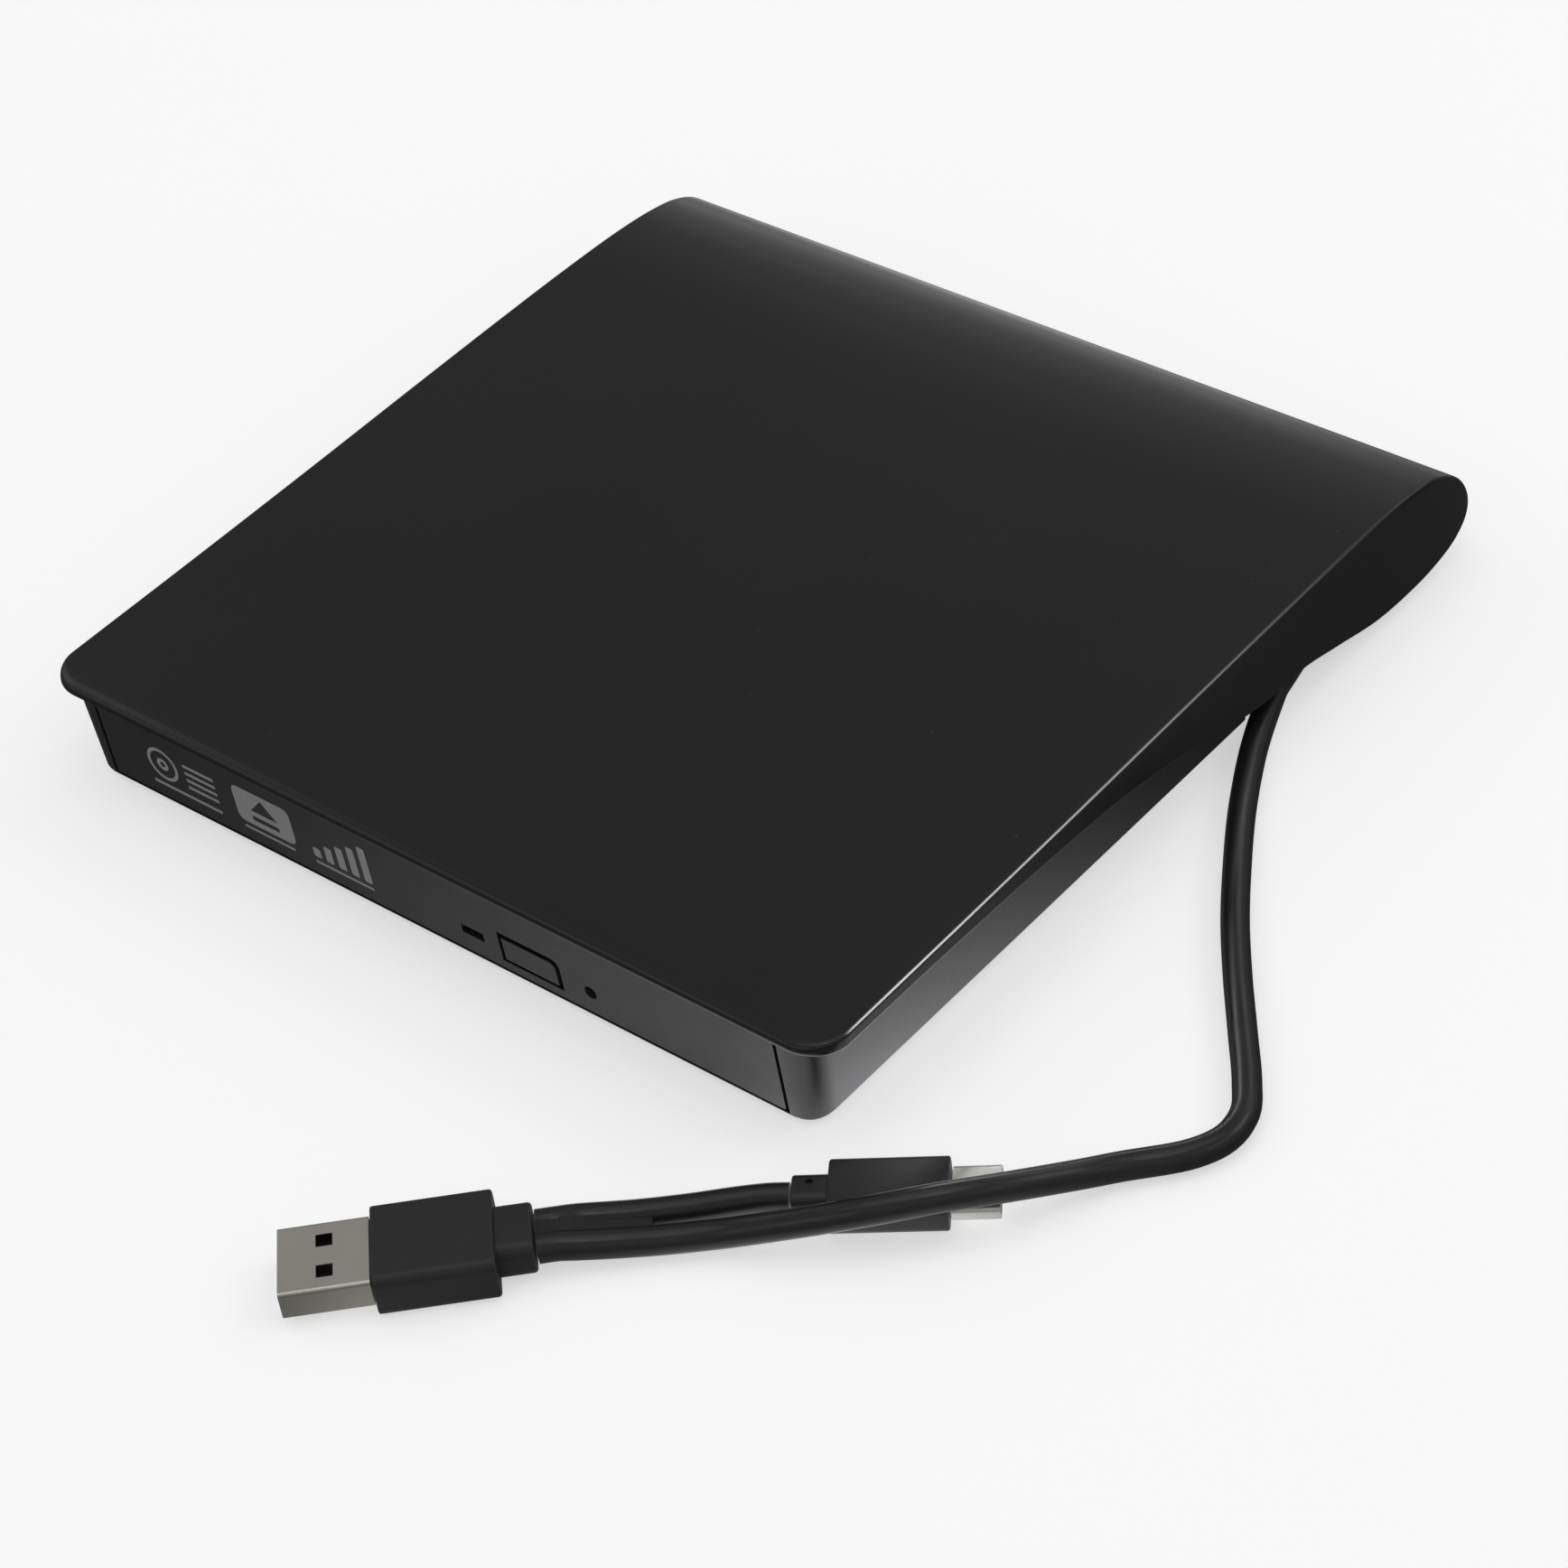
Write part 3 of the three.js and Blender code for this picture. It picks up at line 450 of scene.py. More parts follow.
def dense_through(points, per_span=24):
    """Points on the smooth curve through the given ones, the ends included."""
    p = [Vector(q) for q in points]
    p = [2 * p[0] - p[1]] + p + [2 * p[-1] - p[-2]]
    found = []
    for a, b, c, d in zip(p, p[1:], p[2:], p[3:]):
        t1 = (b - a).length ** 0.5
        t2 = t1 + (c - b).length ** 0.5
        t3 = t2 + (d - c).length ** 0.5
        for i in range(per_span):
            t = t1 + (t2 - t1) * i / per_span
            ab = a.lerp(b, t / t1)
            bc = b.lerp(c, (t - t1) / (t2 - t1))
            cd = c.lerp(d, (t - t2) / (t3 - t2))
            abc = ab.lerp(bc, t / t2)
            bcd = bc.lerp(cd, (t - t1) / (t3 - t1))
            found.append(abc.lerp(bcd, (t - t1) / (t2 - t1)))
    found.append(p[-2])
    return found


def run_length(points):
    return sum((b - a).length for a, b in zip(points, points[1:]))


def at_runs(points, wanted):
    """The points that lie at the wanted distances along a line, which go up in order."""
    runs = [0.0]
    for a, b in zip(points, points[1:]):
        runs.append(runs[-1] + (b - a).length)
    found, i = [], 0
    for want in wanted:
        while i < len(runs) - 2 and runs[i + 1] < want:
            i += 1
        share = (want - runs[i]) / max(runs[i + 1] - runs[i], 1e-12)
        found.append(points[i].lerp(points[i + 1], min(1.0, max(0.0, share))))
    return found


def evenly(points, step):
    """The same line with points an equal distance apart, close to step."""
    total = run_length(points)
    count = max(2, round(total / step))
    return at_runs(points, [total * k / count for k in range(count + 1)])


def faired(points, rounds):
    """Evens out the curvature of a line without shrinking it; its ends stay."""
    draw_in, push_back = 0.5, -0.53
    for turn in range(rounds * 2):
        pull = draw_in if turn % 2 == 0 else push_back
        middle = [
            b + pull * ((a + c) / 2 - b) for a, b, c in zip(points, points[1:], points[2:])
        ]
        points = [points[0], *middle, points[-1]]
    return points


def tube(bm, path, radius, sides=28):
    """A round tube along a line of points."""
    along = (path[1] - path[0]).normalized()
    side = along.orthogonal().normalized()
    rings = []
    for i, point in enumerate(path):
        ahead = (path[min(i + 1, len(path) - 1)] - path[max(i - 1, 0)]).normalized()
        side = (side - side.dot(ahead) * ahead).normalized()
        over = ahead.cross(side)
        turns = [2 * math.pi * k / sides for k in range(sides)]
        rings.append([point + radius * (math.cos(t) * side + math.sin(t) * over) for t in turns])
    skin(bm, rings)


def refine(node, material, width, name=None, segments=2, sharp=40):
    """A new piece with the CAD node's shape, its hard edges softened by a small round."""
    source = nodes[node]
    bm = bmesh.new()
    bm.from_mesh(source.data)
    tidy(bm, 2e-6)
    bmesh.ops.dissolve_limit(
        bm,
        angle_limit=math.radians(0.4),
        verts=bm.verts,
        edges=bm.edges,
        use_dissolve_boundaries=False,
    )
    limit = math.radians(sharp)
    hard = [e for e in bm.edges if len(e.link_faces) == 2 and e.calc_face_angle(0) > limit]
    bmesh.ops.bevel(
        bm,
        geom=hard,
        offset=width * MM,
        segments=segments,
        profile=0.5,
        affect="EDGES",
        clamp_overlap=True,
    )
    obj = to_object(name or node + "_shown", bm)
    return finish_piece(obj, source["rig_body"], material, [node])


def dress(node, material):
    """Gives a CAD node that stays in view its finished material."""
    for held in nodes[node].material_slots:
        held.link = "OBJECT"
        held.material = material


# ------------------------------------------------------------------ leads and plugs
CORD_D = 4.0
CORD_STEP = 1.0
GLAND_EXIT = (68.3, 120.2, 5.0)
ROUTE = [
    GLAND_EXIT,
    (68.3, 117, 4.5),
    (68.4, 111.5, 2.6),
    (68.9, 106.5, 1.5),
    (69.3, 104.2, 1.3),
    (70.5, 101, 1.3),
    (72.9, 95.1, 1.3),
    (75.4, 89.7, 1.3),
    (80.8, 79.7, 1.3),
    (86.7, 70.2, 1.3),
    (92.8, 61.1, 1.3),
    (99.2, 52.6, 1.3),
    (105.7, 44.5, 1.3),
    (112, 36.6, 1.3),
    (114.9, 32, 1.3),
    (115.5, 27.2, 1.3),
    (113.6, 22.6, 1.3),
    (107.2, 15.3, 1.5),
    (104.6, 11.2, 2.3),
    (100.2, 2.4, 5.2),
    (97.6, -1.8, 6.3),
    (94.5, -5.4, 6.6),
    (87.7, -11.8, 5.8),
    (80.1, -17.1, 3.9),
    (72, -22.2, 1.8),
    (64.9, -28.3, 1.7),
    (58, -34.4, 2.3),
]
JUMPER_BETWEEN = [(54.4, -31, 2), (60, -25.6, 1.3), (65.5, -20.6, 1.3), (69.4, -17, 1.5)]
A_PLUG = {"x": 52.6, "y": -36.6, "turn": -135.3, "z": 2.6}
C_PLUG = {"x": 75.4, "y": -12.3, "turn": 35.5, "z": 1.7}
SPLIT = 2.15  # from the USB-A plug's middle to each lead's
STRAIGHT = 3.0  # how far a lead runs straight out of a plug
PLUG_GAP = 0.3  # how far short of the overmould's face its tube stops
WEB_POINTS = 16
WEB_HALF = (1.8, 0.9)  # half the web's thickness at the plug and at its far end


def on_plug(plug, along, across):
    """A point drawn along +X from the lead's end, on the plug as it lies."""
    return plan_frame(**plug) @ Vector((along, across, 0))


def rounded_loop(width, height, radius, per_corner=8):
    """Points (across, up) round a rectangle with round corners."""
    found = []
    for cx, cy, start in ((1, 1, 0), (-1, 1, 90), (-1, -1, 180), (1, -1, 270)):
        for i in range(per_corner + 1):
            t = math.radians(start + 90 * i / per_corner)
            x = cx * (width / 2 - radius) + radius * math.cos(t)
            y = cy * (height / 2 - radius) + radius * math.sin(t)
            found.append((x, y))
    return found


def bar(x0, x1, width, height, radius, end0, end1, place, steps=5):
    """A bar along X with a rounded-rectangle section and rounded end edges."""
    turns = [math.pi / 2 * i / steps for i in range(steps + 1)]
    near = [(x0 + end0 * (1 - math.cos(t)), end0 * (1 - math.sin(t))) for t in turns]
    far = [(x1 - end1 * (1 - math.cos(t)), end1 * (1 - math.sin(t))) for t in turns]
    rings = []
    for x, inset in near + far[::-1]:
        loop = rounded_loop(width - 2 * inset, height - 2 * inset, max(radius - inset, 0.05))
        rings.append([place @ Vector((x, a, b)) for a, b in loop])
    bm = bmesh.new()
    skin(bm, rings)
    tidy(bm, 1e-7)
    return to_object("tool", bm)


def plug_body(name, node, plug, relief, grip, dimples=()):
    """An overmould: a narrow relief where the lead enters, and the wider grip."""
    place = plan_frame(**plug)
    obj = bar(*grip, place)
    obj.name = name
    combine(obj, [bar(*relief, place)], "UNION")
    if dimples:
        combine(obj, dimples, "DIFFERENCE")
    return finish_piece(obj, "lead", PLUG, [node])


def make_plugs():
    """Both plugs, as two lists of the pieces that move with each."""
    # relief and grip: from, to, width, height, side radius, radii of the end edges
    a_relief = (0, 6.0, 9.4, 5.6, 1.9, 0.5, 0.1)
    a_grip = (4.9, 20.8, 14.4, 6.8, 1.5, 0.45, 0.3)
    c_relief = (0, 5.6, 5.4, 4.4, 1.5, 0.35, 0.1)
    c_grip = (4.7, 20.4, 10.2, 5.0, 1.5, 0.4, 0.3)
    a_body = plug_body("plug_a_grip", "usb_a_body", A_PLUG, a_relief, a_grip)
    dimple = disc(2.4, 0.6, 0.5, 1.75, 4, 24, in_frame(plan_frame(**C_PLUG)))
    c_body = plug_body("plug_c_grip", "usb_c_body", C_PLUG, c_relief, c_grip, [dimple])
    a_shell = refine("usb_a_shell", A_STEEL, 0.1, "plug_a_shell", sharp=50)
    c_shell = refine("usb_c_shell", C_STEEL, 0.08, "plug_c_shell", sharp=50)
    dress("usb_a_tongue", INNER)
    dress("usb_c_contacts", CHIP)
    return [a_body, a_shell, nodes["usb_a_tongue"]], [c_body, c_shell, nodes["usb_c_contacts"]]


def make_web(lead, branch):
    """The web that still joins the two leads over the first stretch from the USB-A plug."""
    near, far = WEB_HALF
    bm = bmesh.new()
    rings = []
    for i in range(WEB_POINTS):
        up = Vector((0, 0, (near + (far - near) * i / (WEB_POINTS - 1)) * MM))
        a, b = lead[i], branch[i]
        rings.append([a - up, b - up, b + up, a + up])
    skin(bm, rings)
    tidy(bm, 1e-7)
    return finish_piece(to_object("lead_web", bm, 50), "lead", CORD, even=False)


def make_tube(name, path, body, stands_for):
    bm = bmesh.new()
    tube(bm, path, CORD_D / 2 * MM)
    tidy(bm, 1e-7)
    return finish_piece(to_object(name, bm, 50), body, CORD, stands_for, even=False)


def make_leads():
    on_a, on_c = make_plugs()
    route = [at(*p) for p in ROUTE]
    route += [on_plug(A_PLUG, -STRAIGHT, SPLIT), on_plug(A_PLUG, -PLUG_GAP, SPLIT)]
    path = evenly(dense_through(route), CORD_STEP * MM)
    branch = [on_plug(A_PLUG, -PLUG_GAP, -SPLIT), on_plug(A_PLUG, -STRAIGHT, -SPLIT)]
    branch += [at(*p) for p in JUMPER_BETWEEN]
    branch += [on_plug(C_PLUG, -STRAIGHT, 0), on_plug(C_PLUG, -PLUG_GAP, 0)]
    branch = evenly(dense_through(branch), CORD_STEP * MM)
    on_a.append(make_web(path[::-1], branch))
    lead = make_tube("main_lead", path, None, ["gutter_lead", "main_cable"])
    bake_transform(lead)
    jumper = make_tube("jumper_lead", branch, "lead", ["jumper_cable"])
    dress("inner_lead", CORD)
    dress("cable_gland", RUBBER)


make_leads()

# ------------------------------------------------------------------ top cover
HALF = 73.6
CORNER = 6.0
EDGE = 0.6
WALL = 1.7
LIP_BACK = 0.5  # where the front lip's round ends, and the side outline starts
LIP_TOP = 16.85
LIP_LOW = 14.5
COLUMNS = 16
FAN_STEPS = 24
SIDE_STEPS = 7
SIDE_LINE = [  # (y, z) from the front lip over the top, round the rear roll and back below
    (LIP_BACK, LIP_TOP), (8, 16.95), (30, 17.25), (55, 17.75), (80, 18.4), (100, 18.82), (114, 18.95),
    (126, 18.75), (134, 18.1), (140, 16.9), (144.4, 14.7), (147.2, 11.6), (148.3, 8.2),
    (147.6, 5.4), (144.6, 2.9), (139, 1.4), (132, 1), (124, 1.5), (114, 3.7), (106, 5.4),
    (100, 5.6), (94, 6.2), (87, 7.8), (79, 9.7), (70, 11.6), (60, 12.9), (45, 13.8), (24, 14.4),
    (LIP_BACK, LIP_LOW),
]
HOLLOW = [  # (y, z) of the room inside it
    (-6, -6), (137.5, -6), (137.5, 3.1), (143, 4.2), (145.4, 6.1), (146, 8.4), (145, 11),
    (142.4, 13.4), (138.6, 15.1), (133, 16.1), (124, 16.65), (112, 16.85), (98, 16.65),
    (78, 16.2), (55, 15.5), (30, 14.9), (6, 14.53), (-6, 14.53),
]


def cover_profile():
    """The side outline behind the front corners: (depth, height) points and outward normals."""
    line = [Vector((y, z, 0)) for y, z in SIDE_LINE]
    line = faired(evenly(dense_through(line), 0.7), rounds=14)
    start = NOSE + CORNER
    kept = [p for p in line if p.x > start + 0.3]
    top = line[0].lerp(kept[0], (start - line[0].x) / (kept[0].x - line[0].x))
    low = line[-1].lerp(kept[-1], (start - line[-1].x) / (kept[-1].x - line[-1].x))
    points = [top, *kept, low]
    normals = []
    for i in range(len(points)):
        ahead = points[min(i + 1, len(points) - 1)] - points[max(i - 1, 0)]
        normals.append(Vector((-ahead.y, ahead.x, 0)).normalized())
    normals[0] = Vector((0, 1, 0))
    normals[-1] = Vector((0, -1, 0))
    return points, normals


def edge_stations(steps=8):
    """(distance out from the corner's centre, inset) from the flat top over the side's edge."""
    found = [(0.0, 0.0), (2.6, 0.0), (4.6, 0.0)]
    for i in range(steps + 1):
        t = math.pi / 2 * i / steps
        found.append((CORNER - EDGE + EDGE * math.sin(t), EDGE * (1 - math.cos(t))))
    return found


def nose_section(top, low):
    """(distance out, height) round the front lip, from the flat top to the underside."""
    tip = 15.7
    upper = quadratic((LIP_BACK, LIP_TOP), (NOSE, 16.8), (NOSE, tip), 20)
    lower = quadratic((NOSE, tip), (NOSE, LIP_LOW), (LIP_BACK, LIP_LOW), 20)
    line = [(NOSE + CORNER, top), *upper, *lower[1:], (NOSE + CORNER, low)]
    return [Vector((NOSE + CORNER - y, z, 0)) for y, z in line]


def side_section(stations, top, low):
    """(distance out, height) round the side, from the flat top to the underside."""
    last = stations[-1][1]
    line = [Vector((out, top - inset, 0)) for out, inset in stations]
    for i in range(SIDE_STEPS):
        t = (i + 1) / (SIDE_STEPS + 1)
        line.append(Vector((CORNER, (top - last) * (1 - t) + (low + last) * t, 0)))
    line += [Vector((out, low + inset, 0)) for out, inset in reversed(stations)]
    return line


def cover_body(bm, points, normals, stations, side, xs):
    """The cover behind its front corners, with the side walls closed at both ends."""
    inner = HALF - CORNER
    columns = [(-inner - out, inset) for out, inset in reversed(stations[1:])]
    columns += [(x, 0.0) for x in xs]
    columns += [(inner + out, inset) for out, inset in stations[1:]]
    wrap = []
    for x, inset in columns:
        wrap.append([at(x, p.x - inset * n.x, p.y - inset * n.y) for p, n in zip(points, normals)])
    skin(bm, wrap, closed=False)
    flat = side[len(stations) : -len(stations)]
    for sign, ring in ((-1, wrap[0]), (1, wrap[-1])):
        step = [at(sign * HALF, NOSE + CORNER, p.y) for p in reversed(flat)]
        bm.faces.new([bm.verts.new(p) for p in ring + step])


def cover_front(bm, nose, side, xs):
    """The front lip, and the round front corners that turn it into the side walls."""
    inner = HALF - CORNER
    lip = [[at(x, NOSE + CORNER - p.x, p.y) for p in nose] for x in xs]
    skin(bm, lip, closed=False)
    for sign in (-1, 1):
        fan = []
        for i in range(FAN_STEPS + 1):
            t = i / FAN_STEPS
            ease = t * t * (3 - 2 * t)
            angle = math.pi / 2 * t
            ring = []
            for a, b in zip(nose, side):
                p = a.lerp(b, ease)
                x = sign * (inner + p.x * math.sin(angle))
                ring.append(at(x, NOSE + CORNER - p.x * math.cos(angle), p.y))
            fan.append(ring)
        skin(bm, fan, closed=False)


def make_cover():
    points, normals = cover_profile()
    stations = edge_stations()
    top, low = points[0].y, points[-1].y
    side = side_section(stations, top, low)
    total = run_length(side)
    shares = [run_length(side[: i + 1]) / total for i in range(len(side))]
    nose = nose_section(top, low)
    nose_length = run_length(nose)
    nose = at_runs(nose, [share * nose_length for share in shares])
    inner = HALF - CORNER
    xs = [-inner + 2 * inner * i / COLUMNS for i in range(COLUMNS + 1)]
    bm = bmesh.new()
    cover_body(bm, points, normals, stations, side, xs)
    cover_front(bm, nose, side, xs)
    tidy(bm, 2e-6)
    cover = to_object("cover_shell", bm, 30)
    bm = bmesh.new()
    skin(bm, [[at(x, y, z) for y, z in HOLLOW] for x in (WALL - HALF, HALF - WALL)])
    tidy(bm)
    combine(cover, [to_object("tool", bm)], "DIFFERENCE", 30)
    return finish_piece(cover, "housing", COVER, ["top_cover"])


make_cover()

# ------------------------------------------------------------------ base
BASE_HALF = 69.1
BASE_TOP = 14.2
BASE_CORNER = 4.5
BASE_FILLET = 0.6
BASE_FLOOR = 1.4
BASE_WALL = 2.0
FLARE = 1.3  # how far the side walls spread by the top
LEAN = 0.05  # how far the front leans forward for each millimetre up
GUTTER = 65.4  # half the width behind the gutter's start, where the lead runs
GUTTER_WALL = 1.2
GUTTER_FROM = (97, 100)  # where the side wall starts and ends its step inward
REAR = 129.4
REAR_WALL = 1.5
OUT = 20  # a height above the base, for cuts that run out through its top
FEET = [(x, y) for x in (-56, 56) for y in (12, 116)]
SCREWS = [(x, y) for x in (-58.5, 58.5) for y in (30, 100)]


def base_loop(inset):
    """The base's plan outline, moved in by inset all round."""
    h, r, g = BASE_HALF, BASE_CORNER, GUTTER
    start, end = GUTTER_FROM
    loop = quadratic((-h, r), (-h, 0), (-h + r, 0), 18) + quadratic((h - r, 0), (h, 0), (h, r), 18)
    loop += [(h, start), (g, end), (g, REAR), (-g, REAR), (-g, end), (-h, start)]
    found = []
    for i, (x, y) in enumerate(loop):
        a, b = Vector(loop[i - 1]), Vector(loop[(i + 1) % len(loop)])
        p = Vector((x, y))
        into, out = (p - a).normalized(), (b - p).normalized()
        left = Vector((-into.y, into.x)) + Vector((-out.y, out.x))
        left = left / max(left.length_squared / 2, 1e-9)
        found.append((x + left.x * inset, y + left.y * inset))
    return found


def base_point(x, y, z):
    """The side walls spread towards the top and the front face leans forward."""
    if abs(x) > GUTTER + 0.5:
        share = (abs(x) - GUTTER) / (BASE_HALF - GUTTER)
        x += math.copysign(share * FLARE * z / BASE_TOP, x)
    if y < BASE_CORNER - 0.01:
        y -= LEAN * z
    return at(x, y, z)


def base_cuts():
    side, rear_side, rear = BASE_HALF - BASE_WALL, GUTTER - GUTTER_WALL, REAR - REAR_WALL
    step = GUTTER_FROM[0]
    room = box(-side, side, 2.4, step - 1, BASE_FLOOR, OUT)
    rear_room = box(-rear_side, rear_side, step - 2, rear, BASE_FLOOR, OUT)
    doorway = box(-64.75, 64.75, -5, 3.3, 0.6, OUT)
    wire_gap = box(-50, -26, rear - 1, REAR + 1, 4, OUT)
    cuts = [room, rear_room, doorway, wire_gap]
    cuts += [disc(x, y, 5.3, -1, 0.5) for x, y in FEET]
    for x, y in SCREWS:
        cuts.append(disc(x, y, 2.6, -1, 0.8))
        cuts.append(disc(x, y, 1.3, -1, 3))
    return cuts


def base_adds():
    back = REAR - 0.4
    shelf = box(-60, -11, back, 137.1, 0.01, BASE_FLOOR - 0.01)
    pegs = [disc(x, 133, 1.8, BASE_FLOOR - 0.2, 4.7) for x in (-57, -14)]
    gland_block = box(60, 71.6, back, 134.8, 1.6, 8.6)
    return [shelf, *pegs, gland_block]


def make_base():
    levels = []
    steps = 6
    for i in range(steps, -1, -1):
        t = math.pi / 2 * i / steps
        levels.append((BASE_FILLET * (1 - math.sin(t)), BASE_FILLET * (1 - math.cos(t))))
    levels += [(4, 0), (9, 0), (BASE_TOP, 0)]
    bm = bmesh.new()
    skin(bm, [[base_point(x, y, z) for x, y in base_loop(inset)] for z, inset in levels])
    tidy(bm)
    base = to_object("base_case", bm)
    combine(base, base_cuts(), "DIFFERENCE")
    combine(base, base_adds(), "UNION")
    lead_x, _, lead_z = GLAND_EXIT
    combine(base, [rod_y(lead_x, lead_z, 125, 140, 2.8)], "DIFFERENCE")
    return finish_piece(base, "housing", BASE, ["base_shell"])


make_base()

# ------------------------------------------------------------------ bezel, button and lamp
PINHOLE = (30.4, 5)
LAMP = (8.6, 5.1)
BUTTON_GAP = {0: (0.32, 0.55), 2: (0.2, 0.62)}  # axis: taken off its low and its high side
PRINT_LIFT, PRINT_FILM = 0.004, 0.016


def make_bezel():
    """The tray's front, with a countersunk mouth on the emergency-eject hole."""
    bezel = refine("tray_bezel", BEZEL, 0.14, "bezel_face", segments=3)
    combine(bezel, [rod_y(*PINHOLE, -0.75, 0.9, 1.2, 0.85)], "DIFFERENCE")
    even_normals(bezel)


def make_button():
    """The button's cap, a little smaller than its opening, which shows as a dark gap."""
    button = refine("eject_button", BEZEL, 0.11, "button_cap")
    low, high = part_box("eject_button")
    for vert in button.data.vertices:
        for axis, (near, far) in BUTTON_GAP.items():
            share = (vert.co[axis] - low[axis]) / (high[axis] - low[axis])
            vert.co[axis] += (near * (1 - share) - far * share) * MM


def make_lamp_window():
    """The lamp's light pipe, set back in its slot with a softly rounded front."""
    x, z = LAMP
    lamp = bar(0.55, 5.2, 3.6, 1.0, 0.22, 0.2, 0.05, plan_frame(x, 0, z, 90))
    lamp.name = "lamp_window"
    return finish_piece(lamp, "disc_tray", WINDOW, ["led_window"])


def face_point(x, z, proud):
    """A point on the bezel's leaning front face, standing proud of it by that much."""
    return at(x, -LEAN * z - proud, z)


def round_box_loop(x0, x1, z0, z1, radius):
    loop = rounded_loop(x1 - x0, z1 - z0, radius, 6)
    return [(x + (x0 + x1) / 2, z + (z0 + z1) / 2) for x, z in loop]


def print_shape(bm, loops):
    """A thin layer of print: the first loop is its outline, and the others are holes."""
    edges = []
    for loop in loops:
        ring = [bm.verts.new(face_point(x, z, PRINT_LIFT)) for x, z in loop]
        edges += [bm.edges.new((ring[i - 1], ring[i])) for i in range(len(ring))]
    filled = bmesh.ops.triangle_fill(bm, use_beauty=True, edges=edges)
    faces = [g for g in filled["geom"] if isinstance(g, bmesh.types.BMFace)]
    raised = bmesh.ops.extrude_face_region(bm, geom=faces)
    moved = [g for g in raised["geom"] if isinstance(g, bmesh.types.BMVert)]
    bmesh.ops.translate(bm, verts=moved, vec=(0, -PRINT_FILM * MM, 0))


def print_underline(bm, x0, x1, thick, radius):
    print_shape(bm, [round_box_loop(x0, x1, 3.3, 3.3 + thick, radius)])


def print_disc_sign(bm):
    x, z = -52.3, 7.9
    for outer, inner in ((3.1, 2.5), (1.15, 0.5)):
        print_shape(bm, [ring_loop(x, z, outer), ring_loop(x, z, inner)])
    for line in (9.9, 8.5, 7.1, 5.7):
        print_shape(bm, [round_box_loop(-47.6, -41.2, line - 0.3, line + 0.3, 0.28)])
    print_underline(bm, -55.4, -41.2, 0.6, 0.28)


def print_eject_sign(bm):
    x0, x1 = -34.2, -28.8
    plate = round_box_loop(-37.3, -25.7, 4.6, 11.5, 1.3)
    triangle = [(x0, 7.6), (x1, 7.6), ((x0 + x1) / 2, 10.5)]
    under = round_box_loop(x0, x1, 5.7, 6.6, 0.2)
    print_shape(bm, [plate, triangle, under])
    print_underline(bm, -36.6, -26.4, 0.5, 0.22)


def print_rising_bars(bm):
    for i in range(5):
        x = -22.2 + 2.5 * i
        print_shape(bm, [round_box_loop(x, x + 1.5, 4.6, 6.4 + 1.25 * i, 0.3)])
    print_underline(bm, -22.2, -10.7, 0.5, 0.22)


def make_marks():
    """Generic printed signs: a disc with lines beside it, an eject sign and rising bars."""
    bm = bmesh.new()
    print_disc_sign(bm)
    print_eject_sign(bm)
    print_rising_bars(bm)
    bmesh.ops.recalc_face_normals(bm, faces=bm.faces)
    marks = to_object("bezel_marks", bm)
    return finish_piece(marks, "disc_tray", PRINT, even=False)


make_bezel()
make_button()
make_lamp_window()
make_marks()


# ------------------------------------------------------------------ the rest of the nodes
REFINED = {  # the start of a node's name: its material, its slot and the round on its edges
    "foot_": (RUBBER, "foot_rubber", 0.18),
    "case_screw_": (SCREW, "screw_steel", 0.08),
    "drive_pan": (PAN, "pan_steel", 0.15),
    "drive_lid": (PAN, "pan_steel", 0.12),
    "tray": (INNER, "tray_black", 0.16),
    "rail_": (PAN, "pan_steel", 0.1),
    "traverse_plate": (PLATE, "pan_steel", 0.12),
    "turntable": (INNER, "tray_black", 0.12),
    "hub_claw_": (IVORY, "connector_ivory", 0.12),
    "laser_sled": (PLATE, "pan_steel", 0.15),
    "lens_holder": (INNER, "tray_black", 0.1),
    "sled_motor": (PAN, "pan_steel", 0.12),
    "eject_solenoid": (PAN, "pan_steel", 0.12),
    "spindle_motor": (PAN, "pan_steel", 0.12),
    "tray_latch": (IVORY, "connector_ivory", 0.12),
    "drive_chip": (CHIP, "chip_black", 0.08),
    "bridge_chip": (CHIP, "chip_black", 0.08),
    "sata_plug": (CHIP, "chip_black", 0.12),
    "sata_socket": (CHIP, "chip_black", 0.12),
    "wire_header": (IVORY, "connector_ivory", 0.1),
    "front_board": (BOARD, "board_green", 0.06),
    "drive_board": (BOARD, "board_green", 0.06),
    "bridge_board": (BOARD, "board_green", 0.06),
}
DRESSED = {  # the start of a node's name: its material
    "guide_rod_": ROD,
    "leadscrew": ROD,
    "grip_ring": RUBBER,
    "objective_lens": GLASS,
    "tray_ribbon": AMBER,
}


def make_rest():
    for node in sorted(nodes):
        if nodes[node].hide_render:
            continue
        for start, (material, slot, width) in REFINED.items():
            if node == start or (start.endswith("_") and node.startswith(start)):
                refine(node, material, width)
        for start, material in DRESSED.items():
            if node.startswith(start):
                dress(node, material)


make_rest()


def make_tray_shield():
    """The thin stamped plate that closes the laser's window from below."""
    hub_y = 65.5
    on_tray = in_frame(plan_frame(0, hub_y, 0, -45))
    plate = [(x + 37.5, y) for x, y in rounded_loop(49.6, 23.6, 1.5)]
    shield = prism(plate, 3.02, 3.3, on_tray)
    shield.name = "tray_shield"
    for x in (22, 54):
        combine(shield, [disc(x, 0, 2.2, 3.2, 3.55, 32, on_tray)], "UNION")
    rib = [(x + 38, y) for x, y in rounded_loop(24, 5, 2.4)]
    combine(shield, [prism(rib, 3.2, 3.5, on_tray)], "UNION")
    return finish_piece(shield, "disc_tray", PLATE)


make_tray_shield()
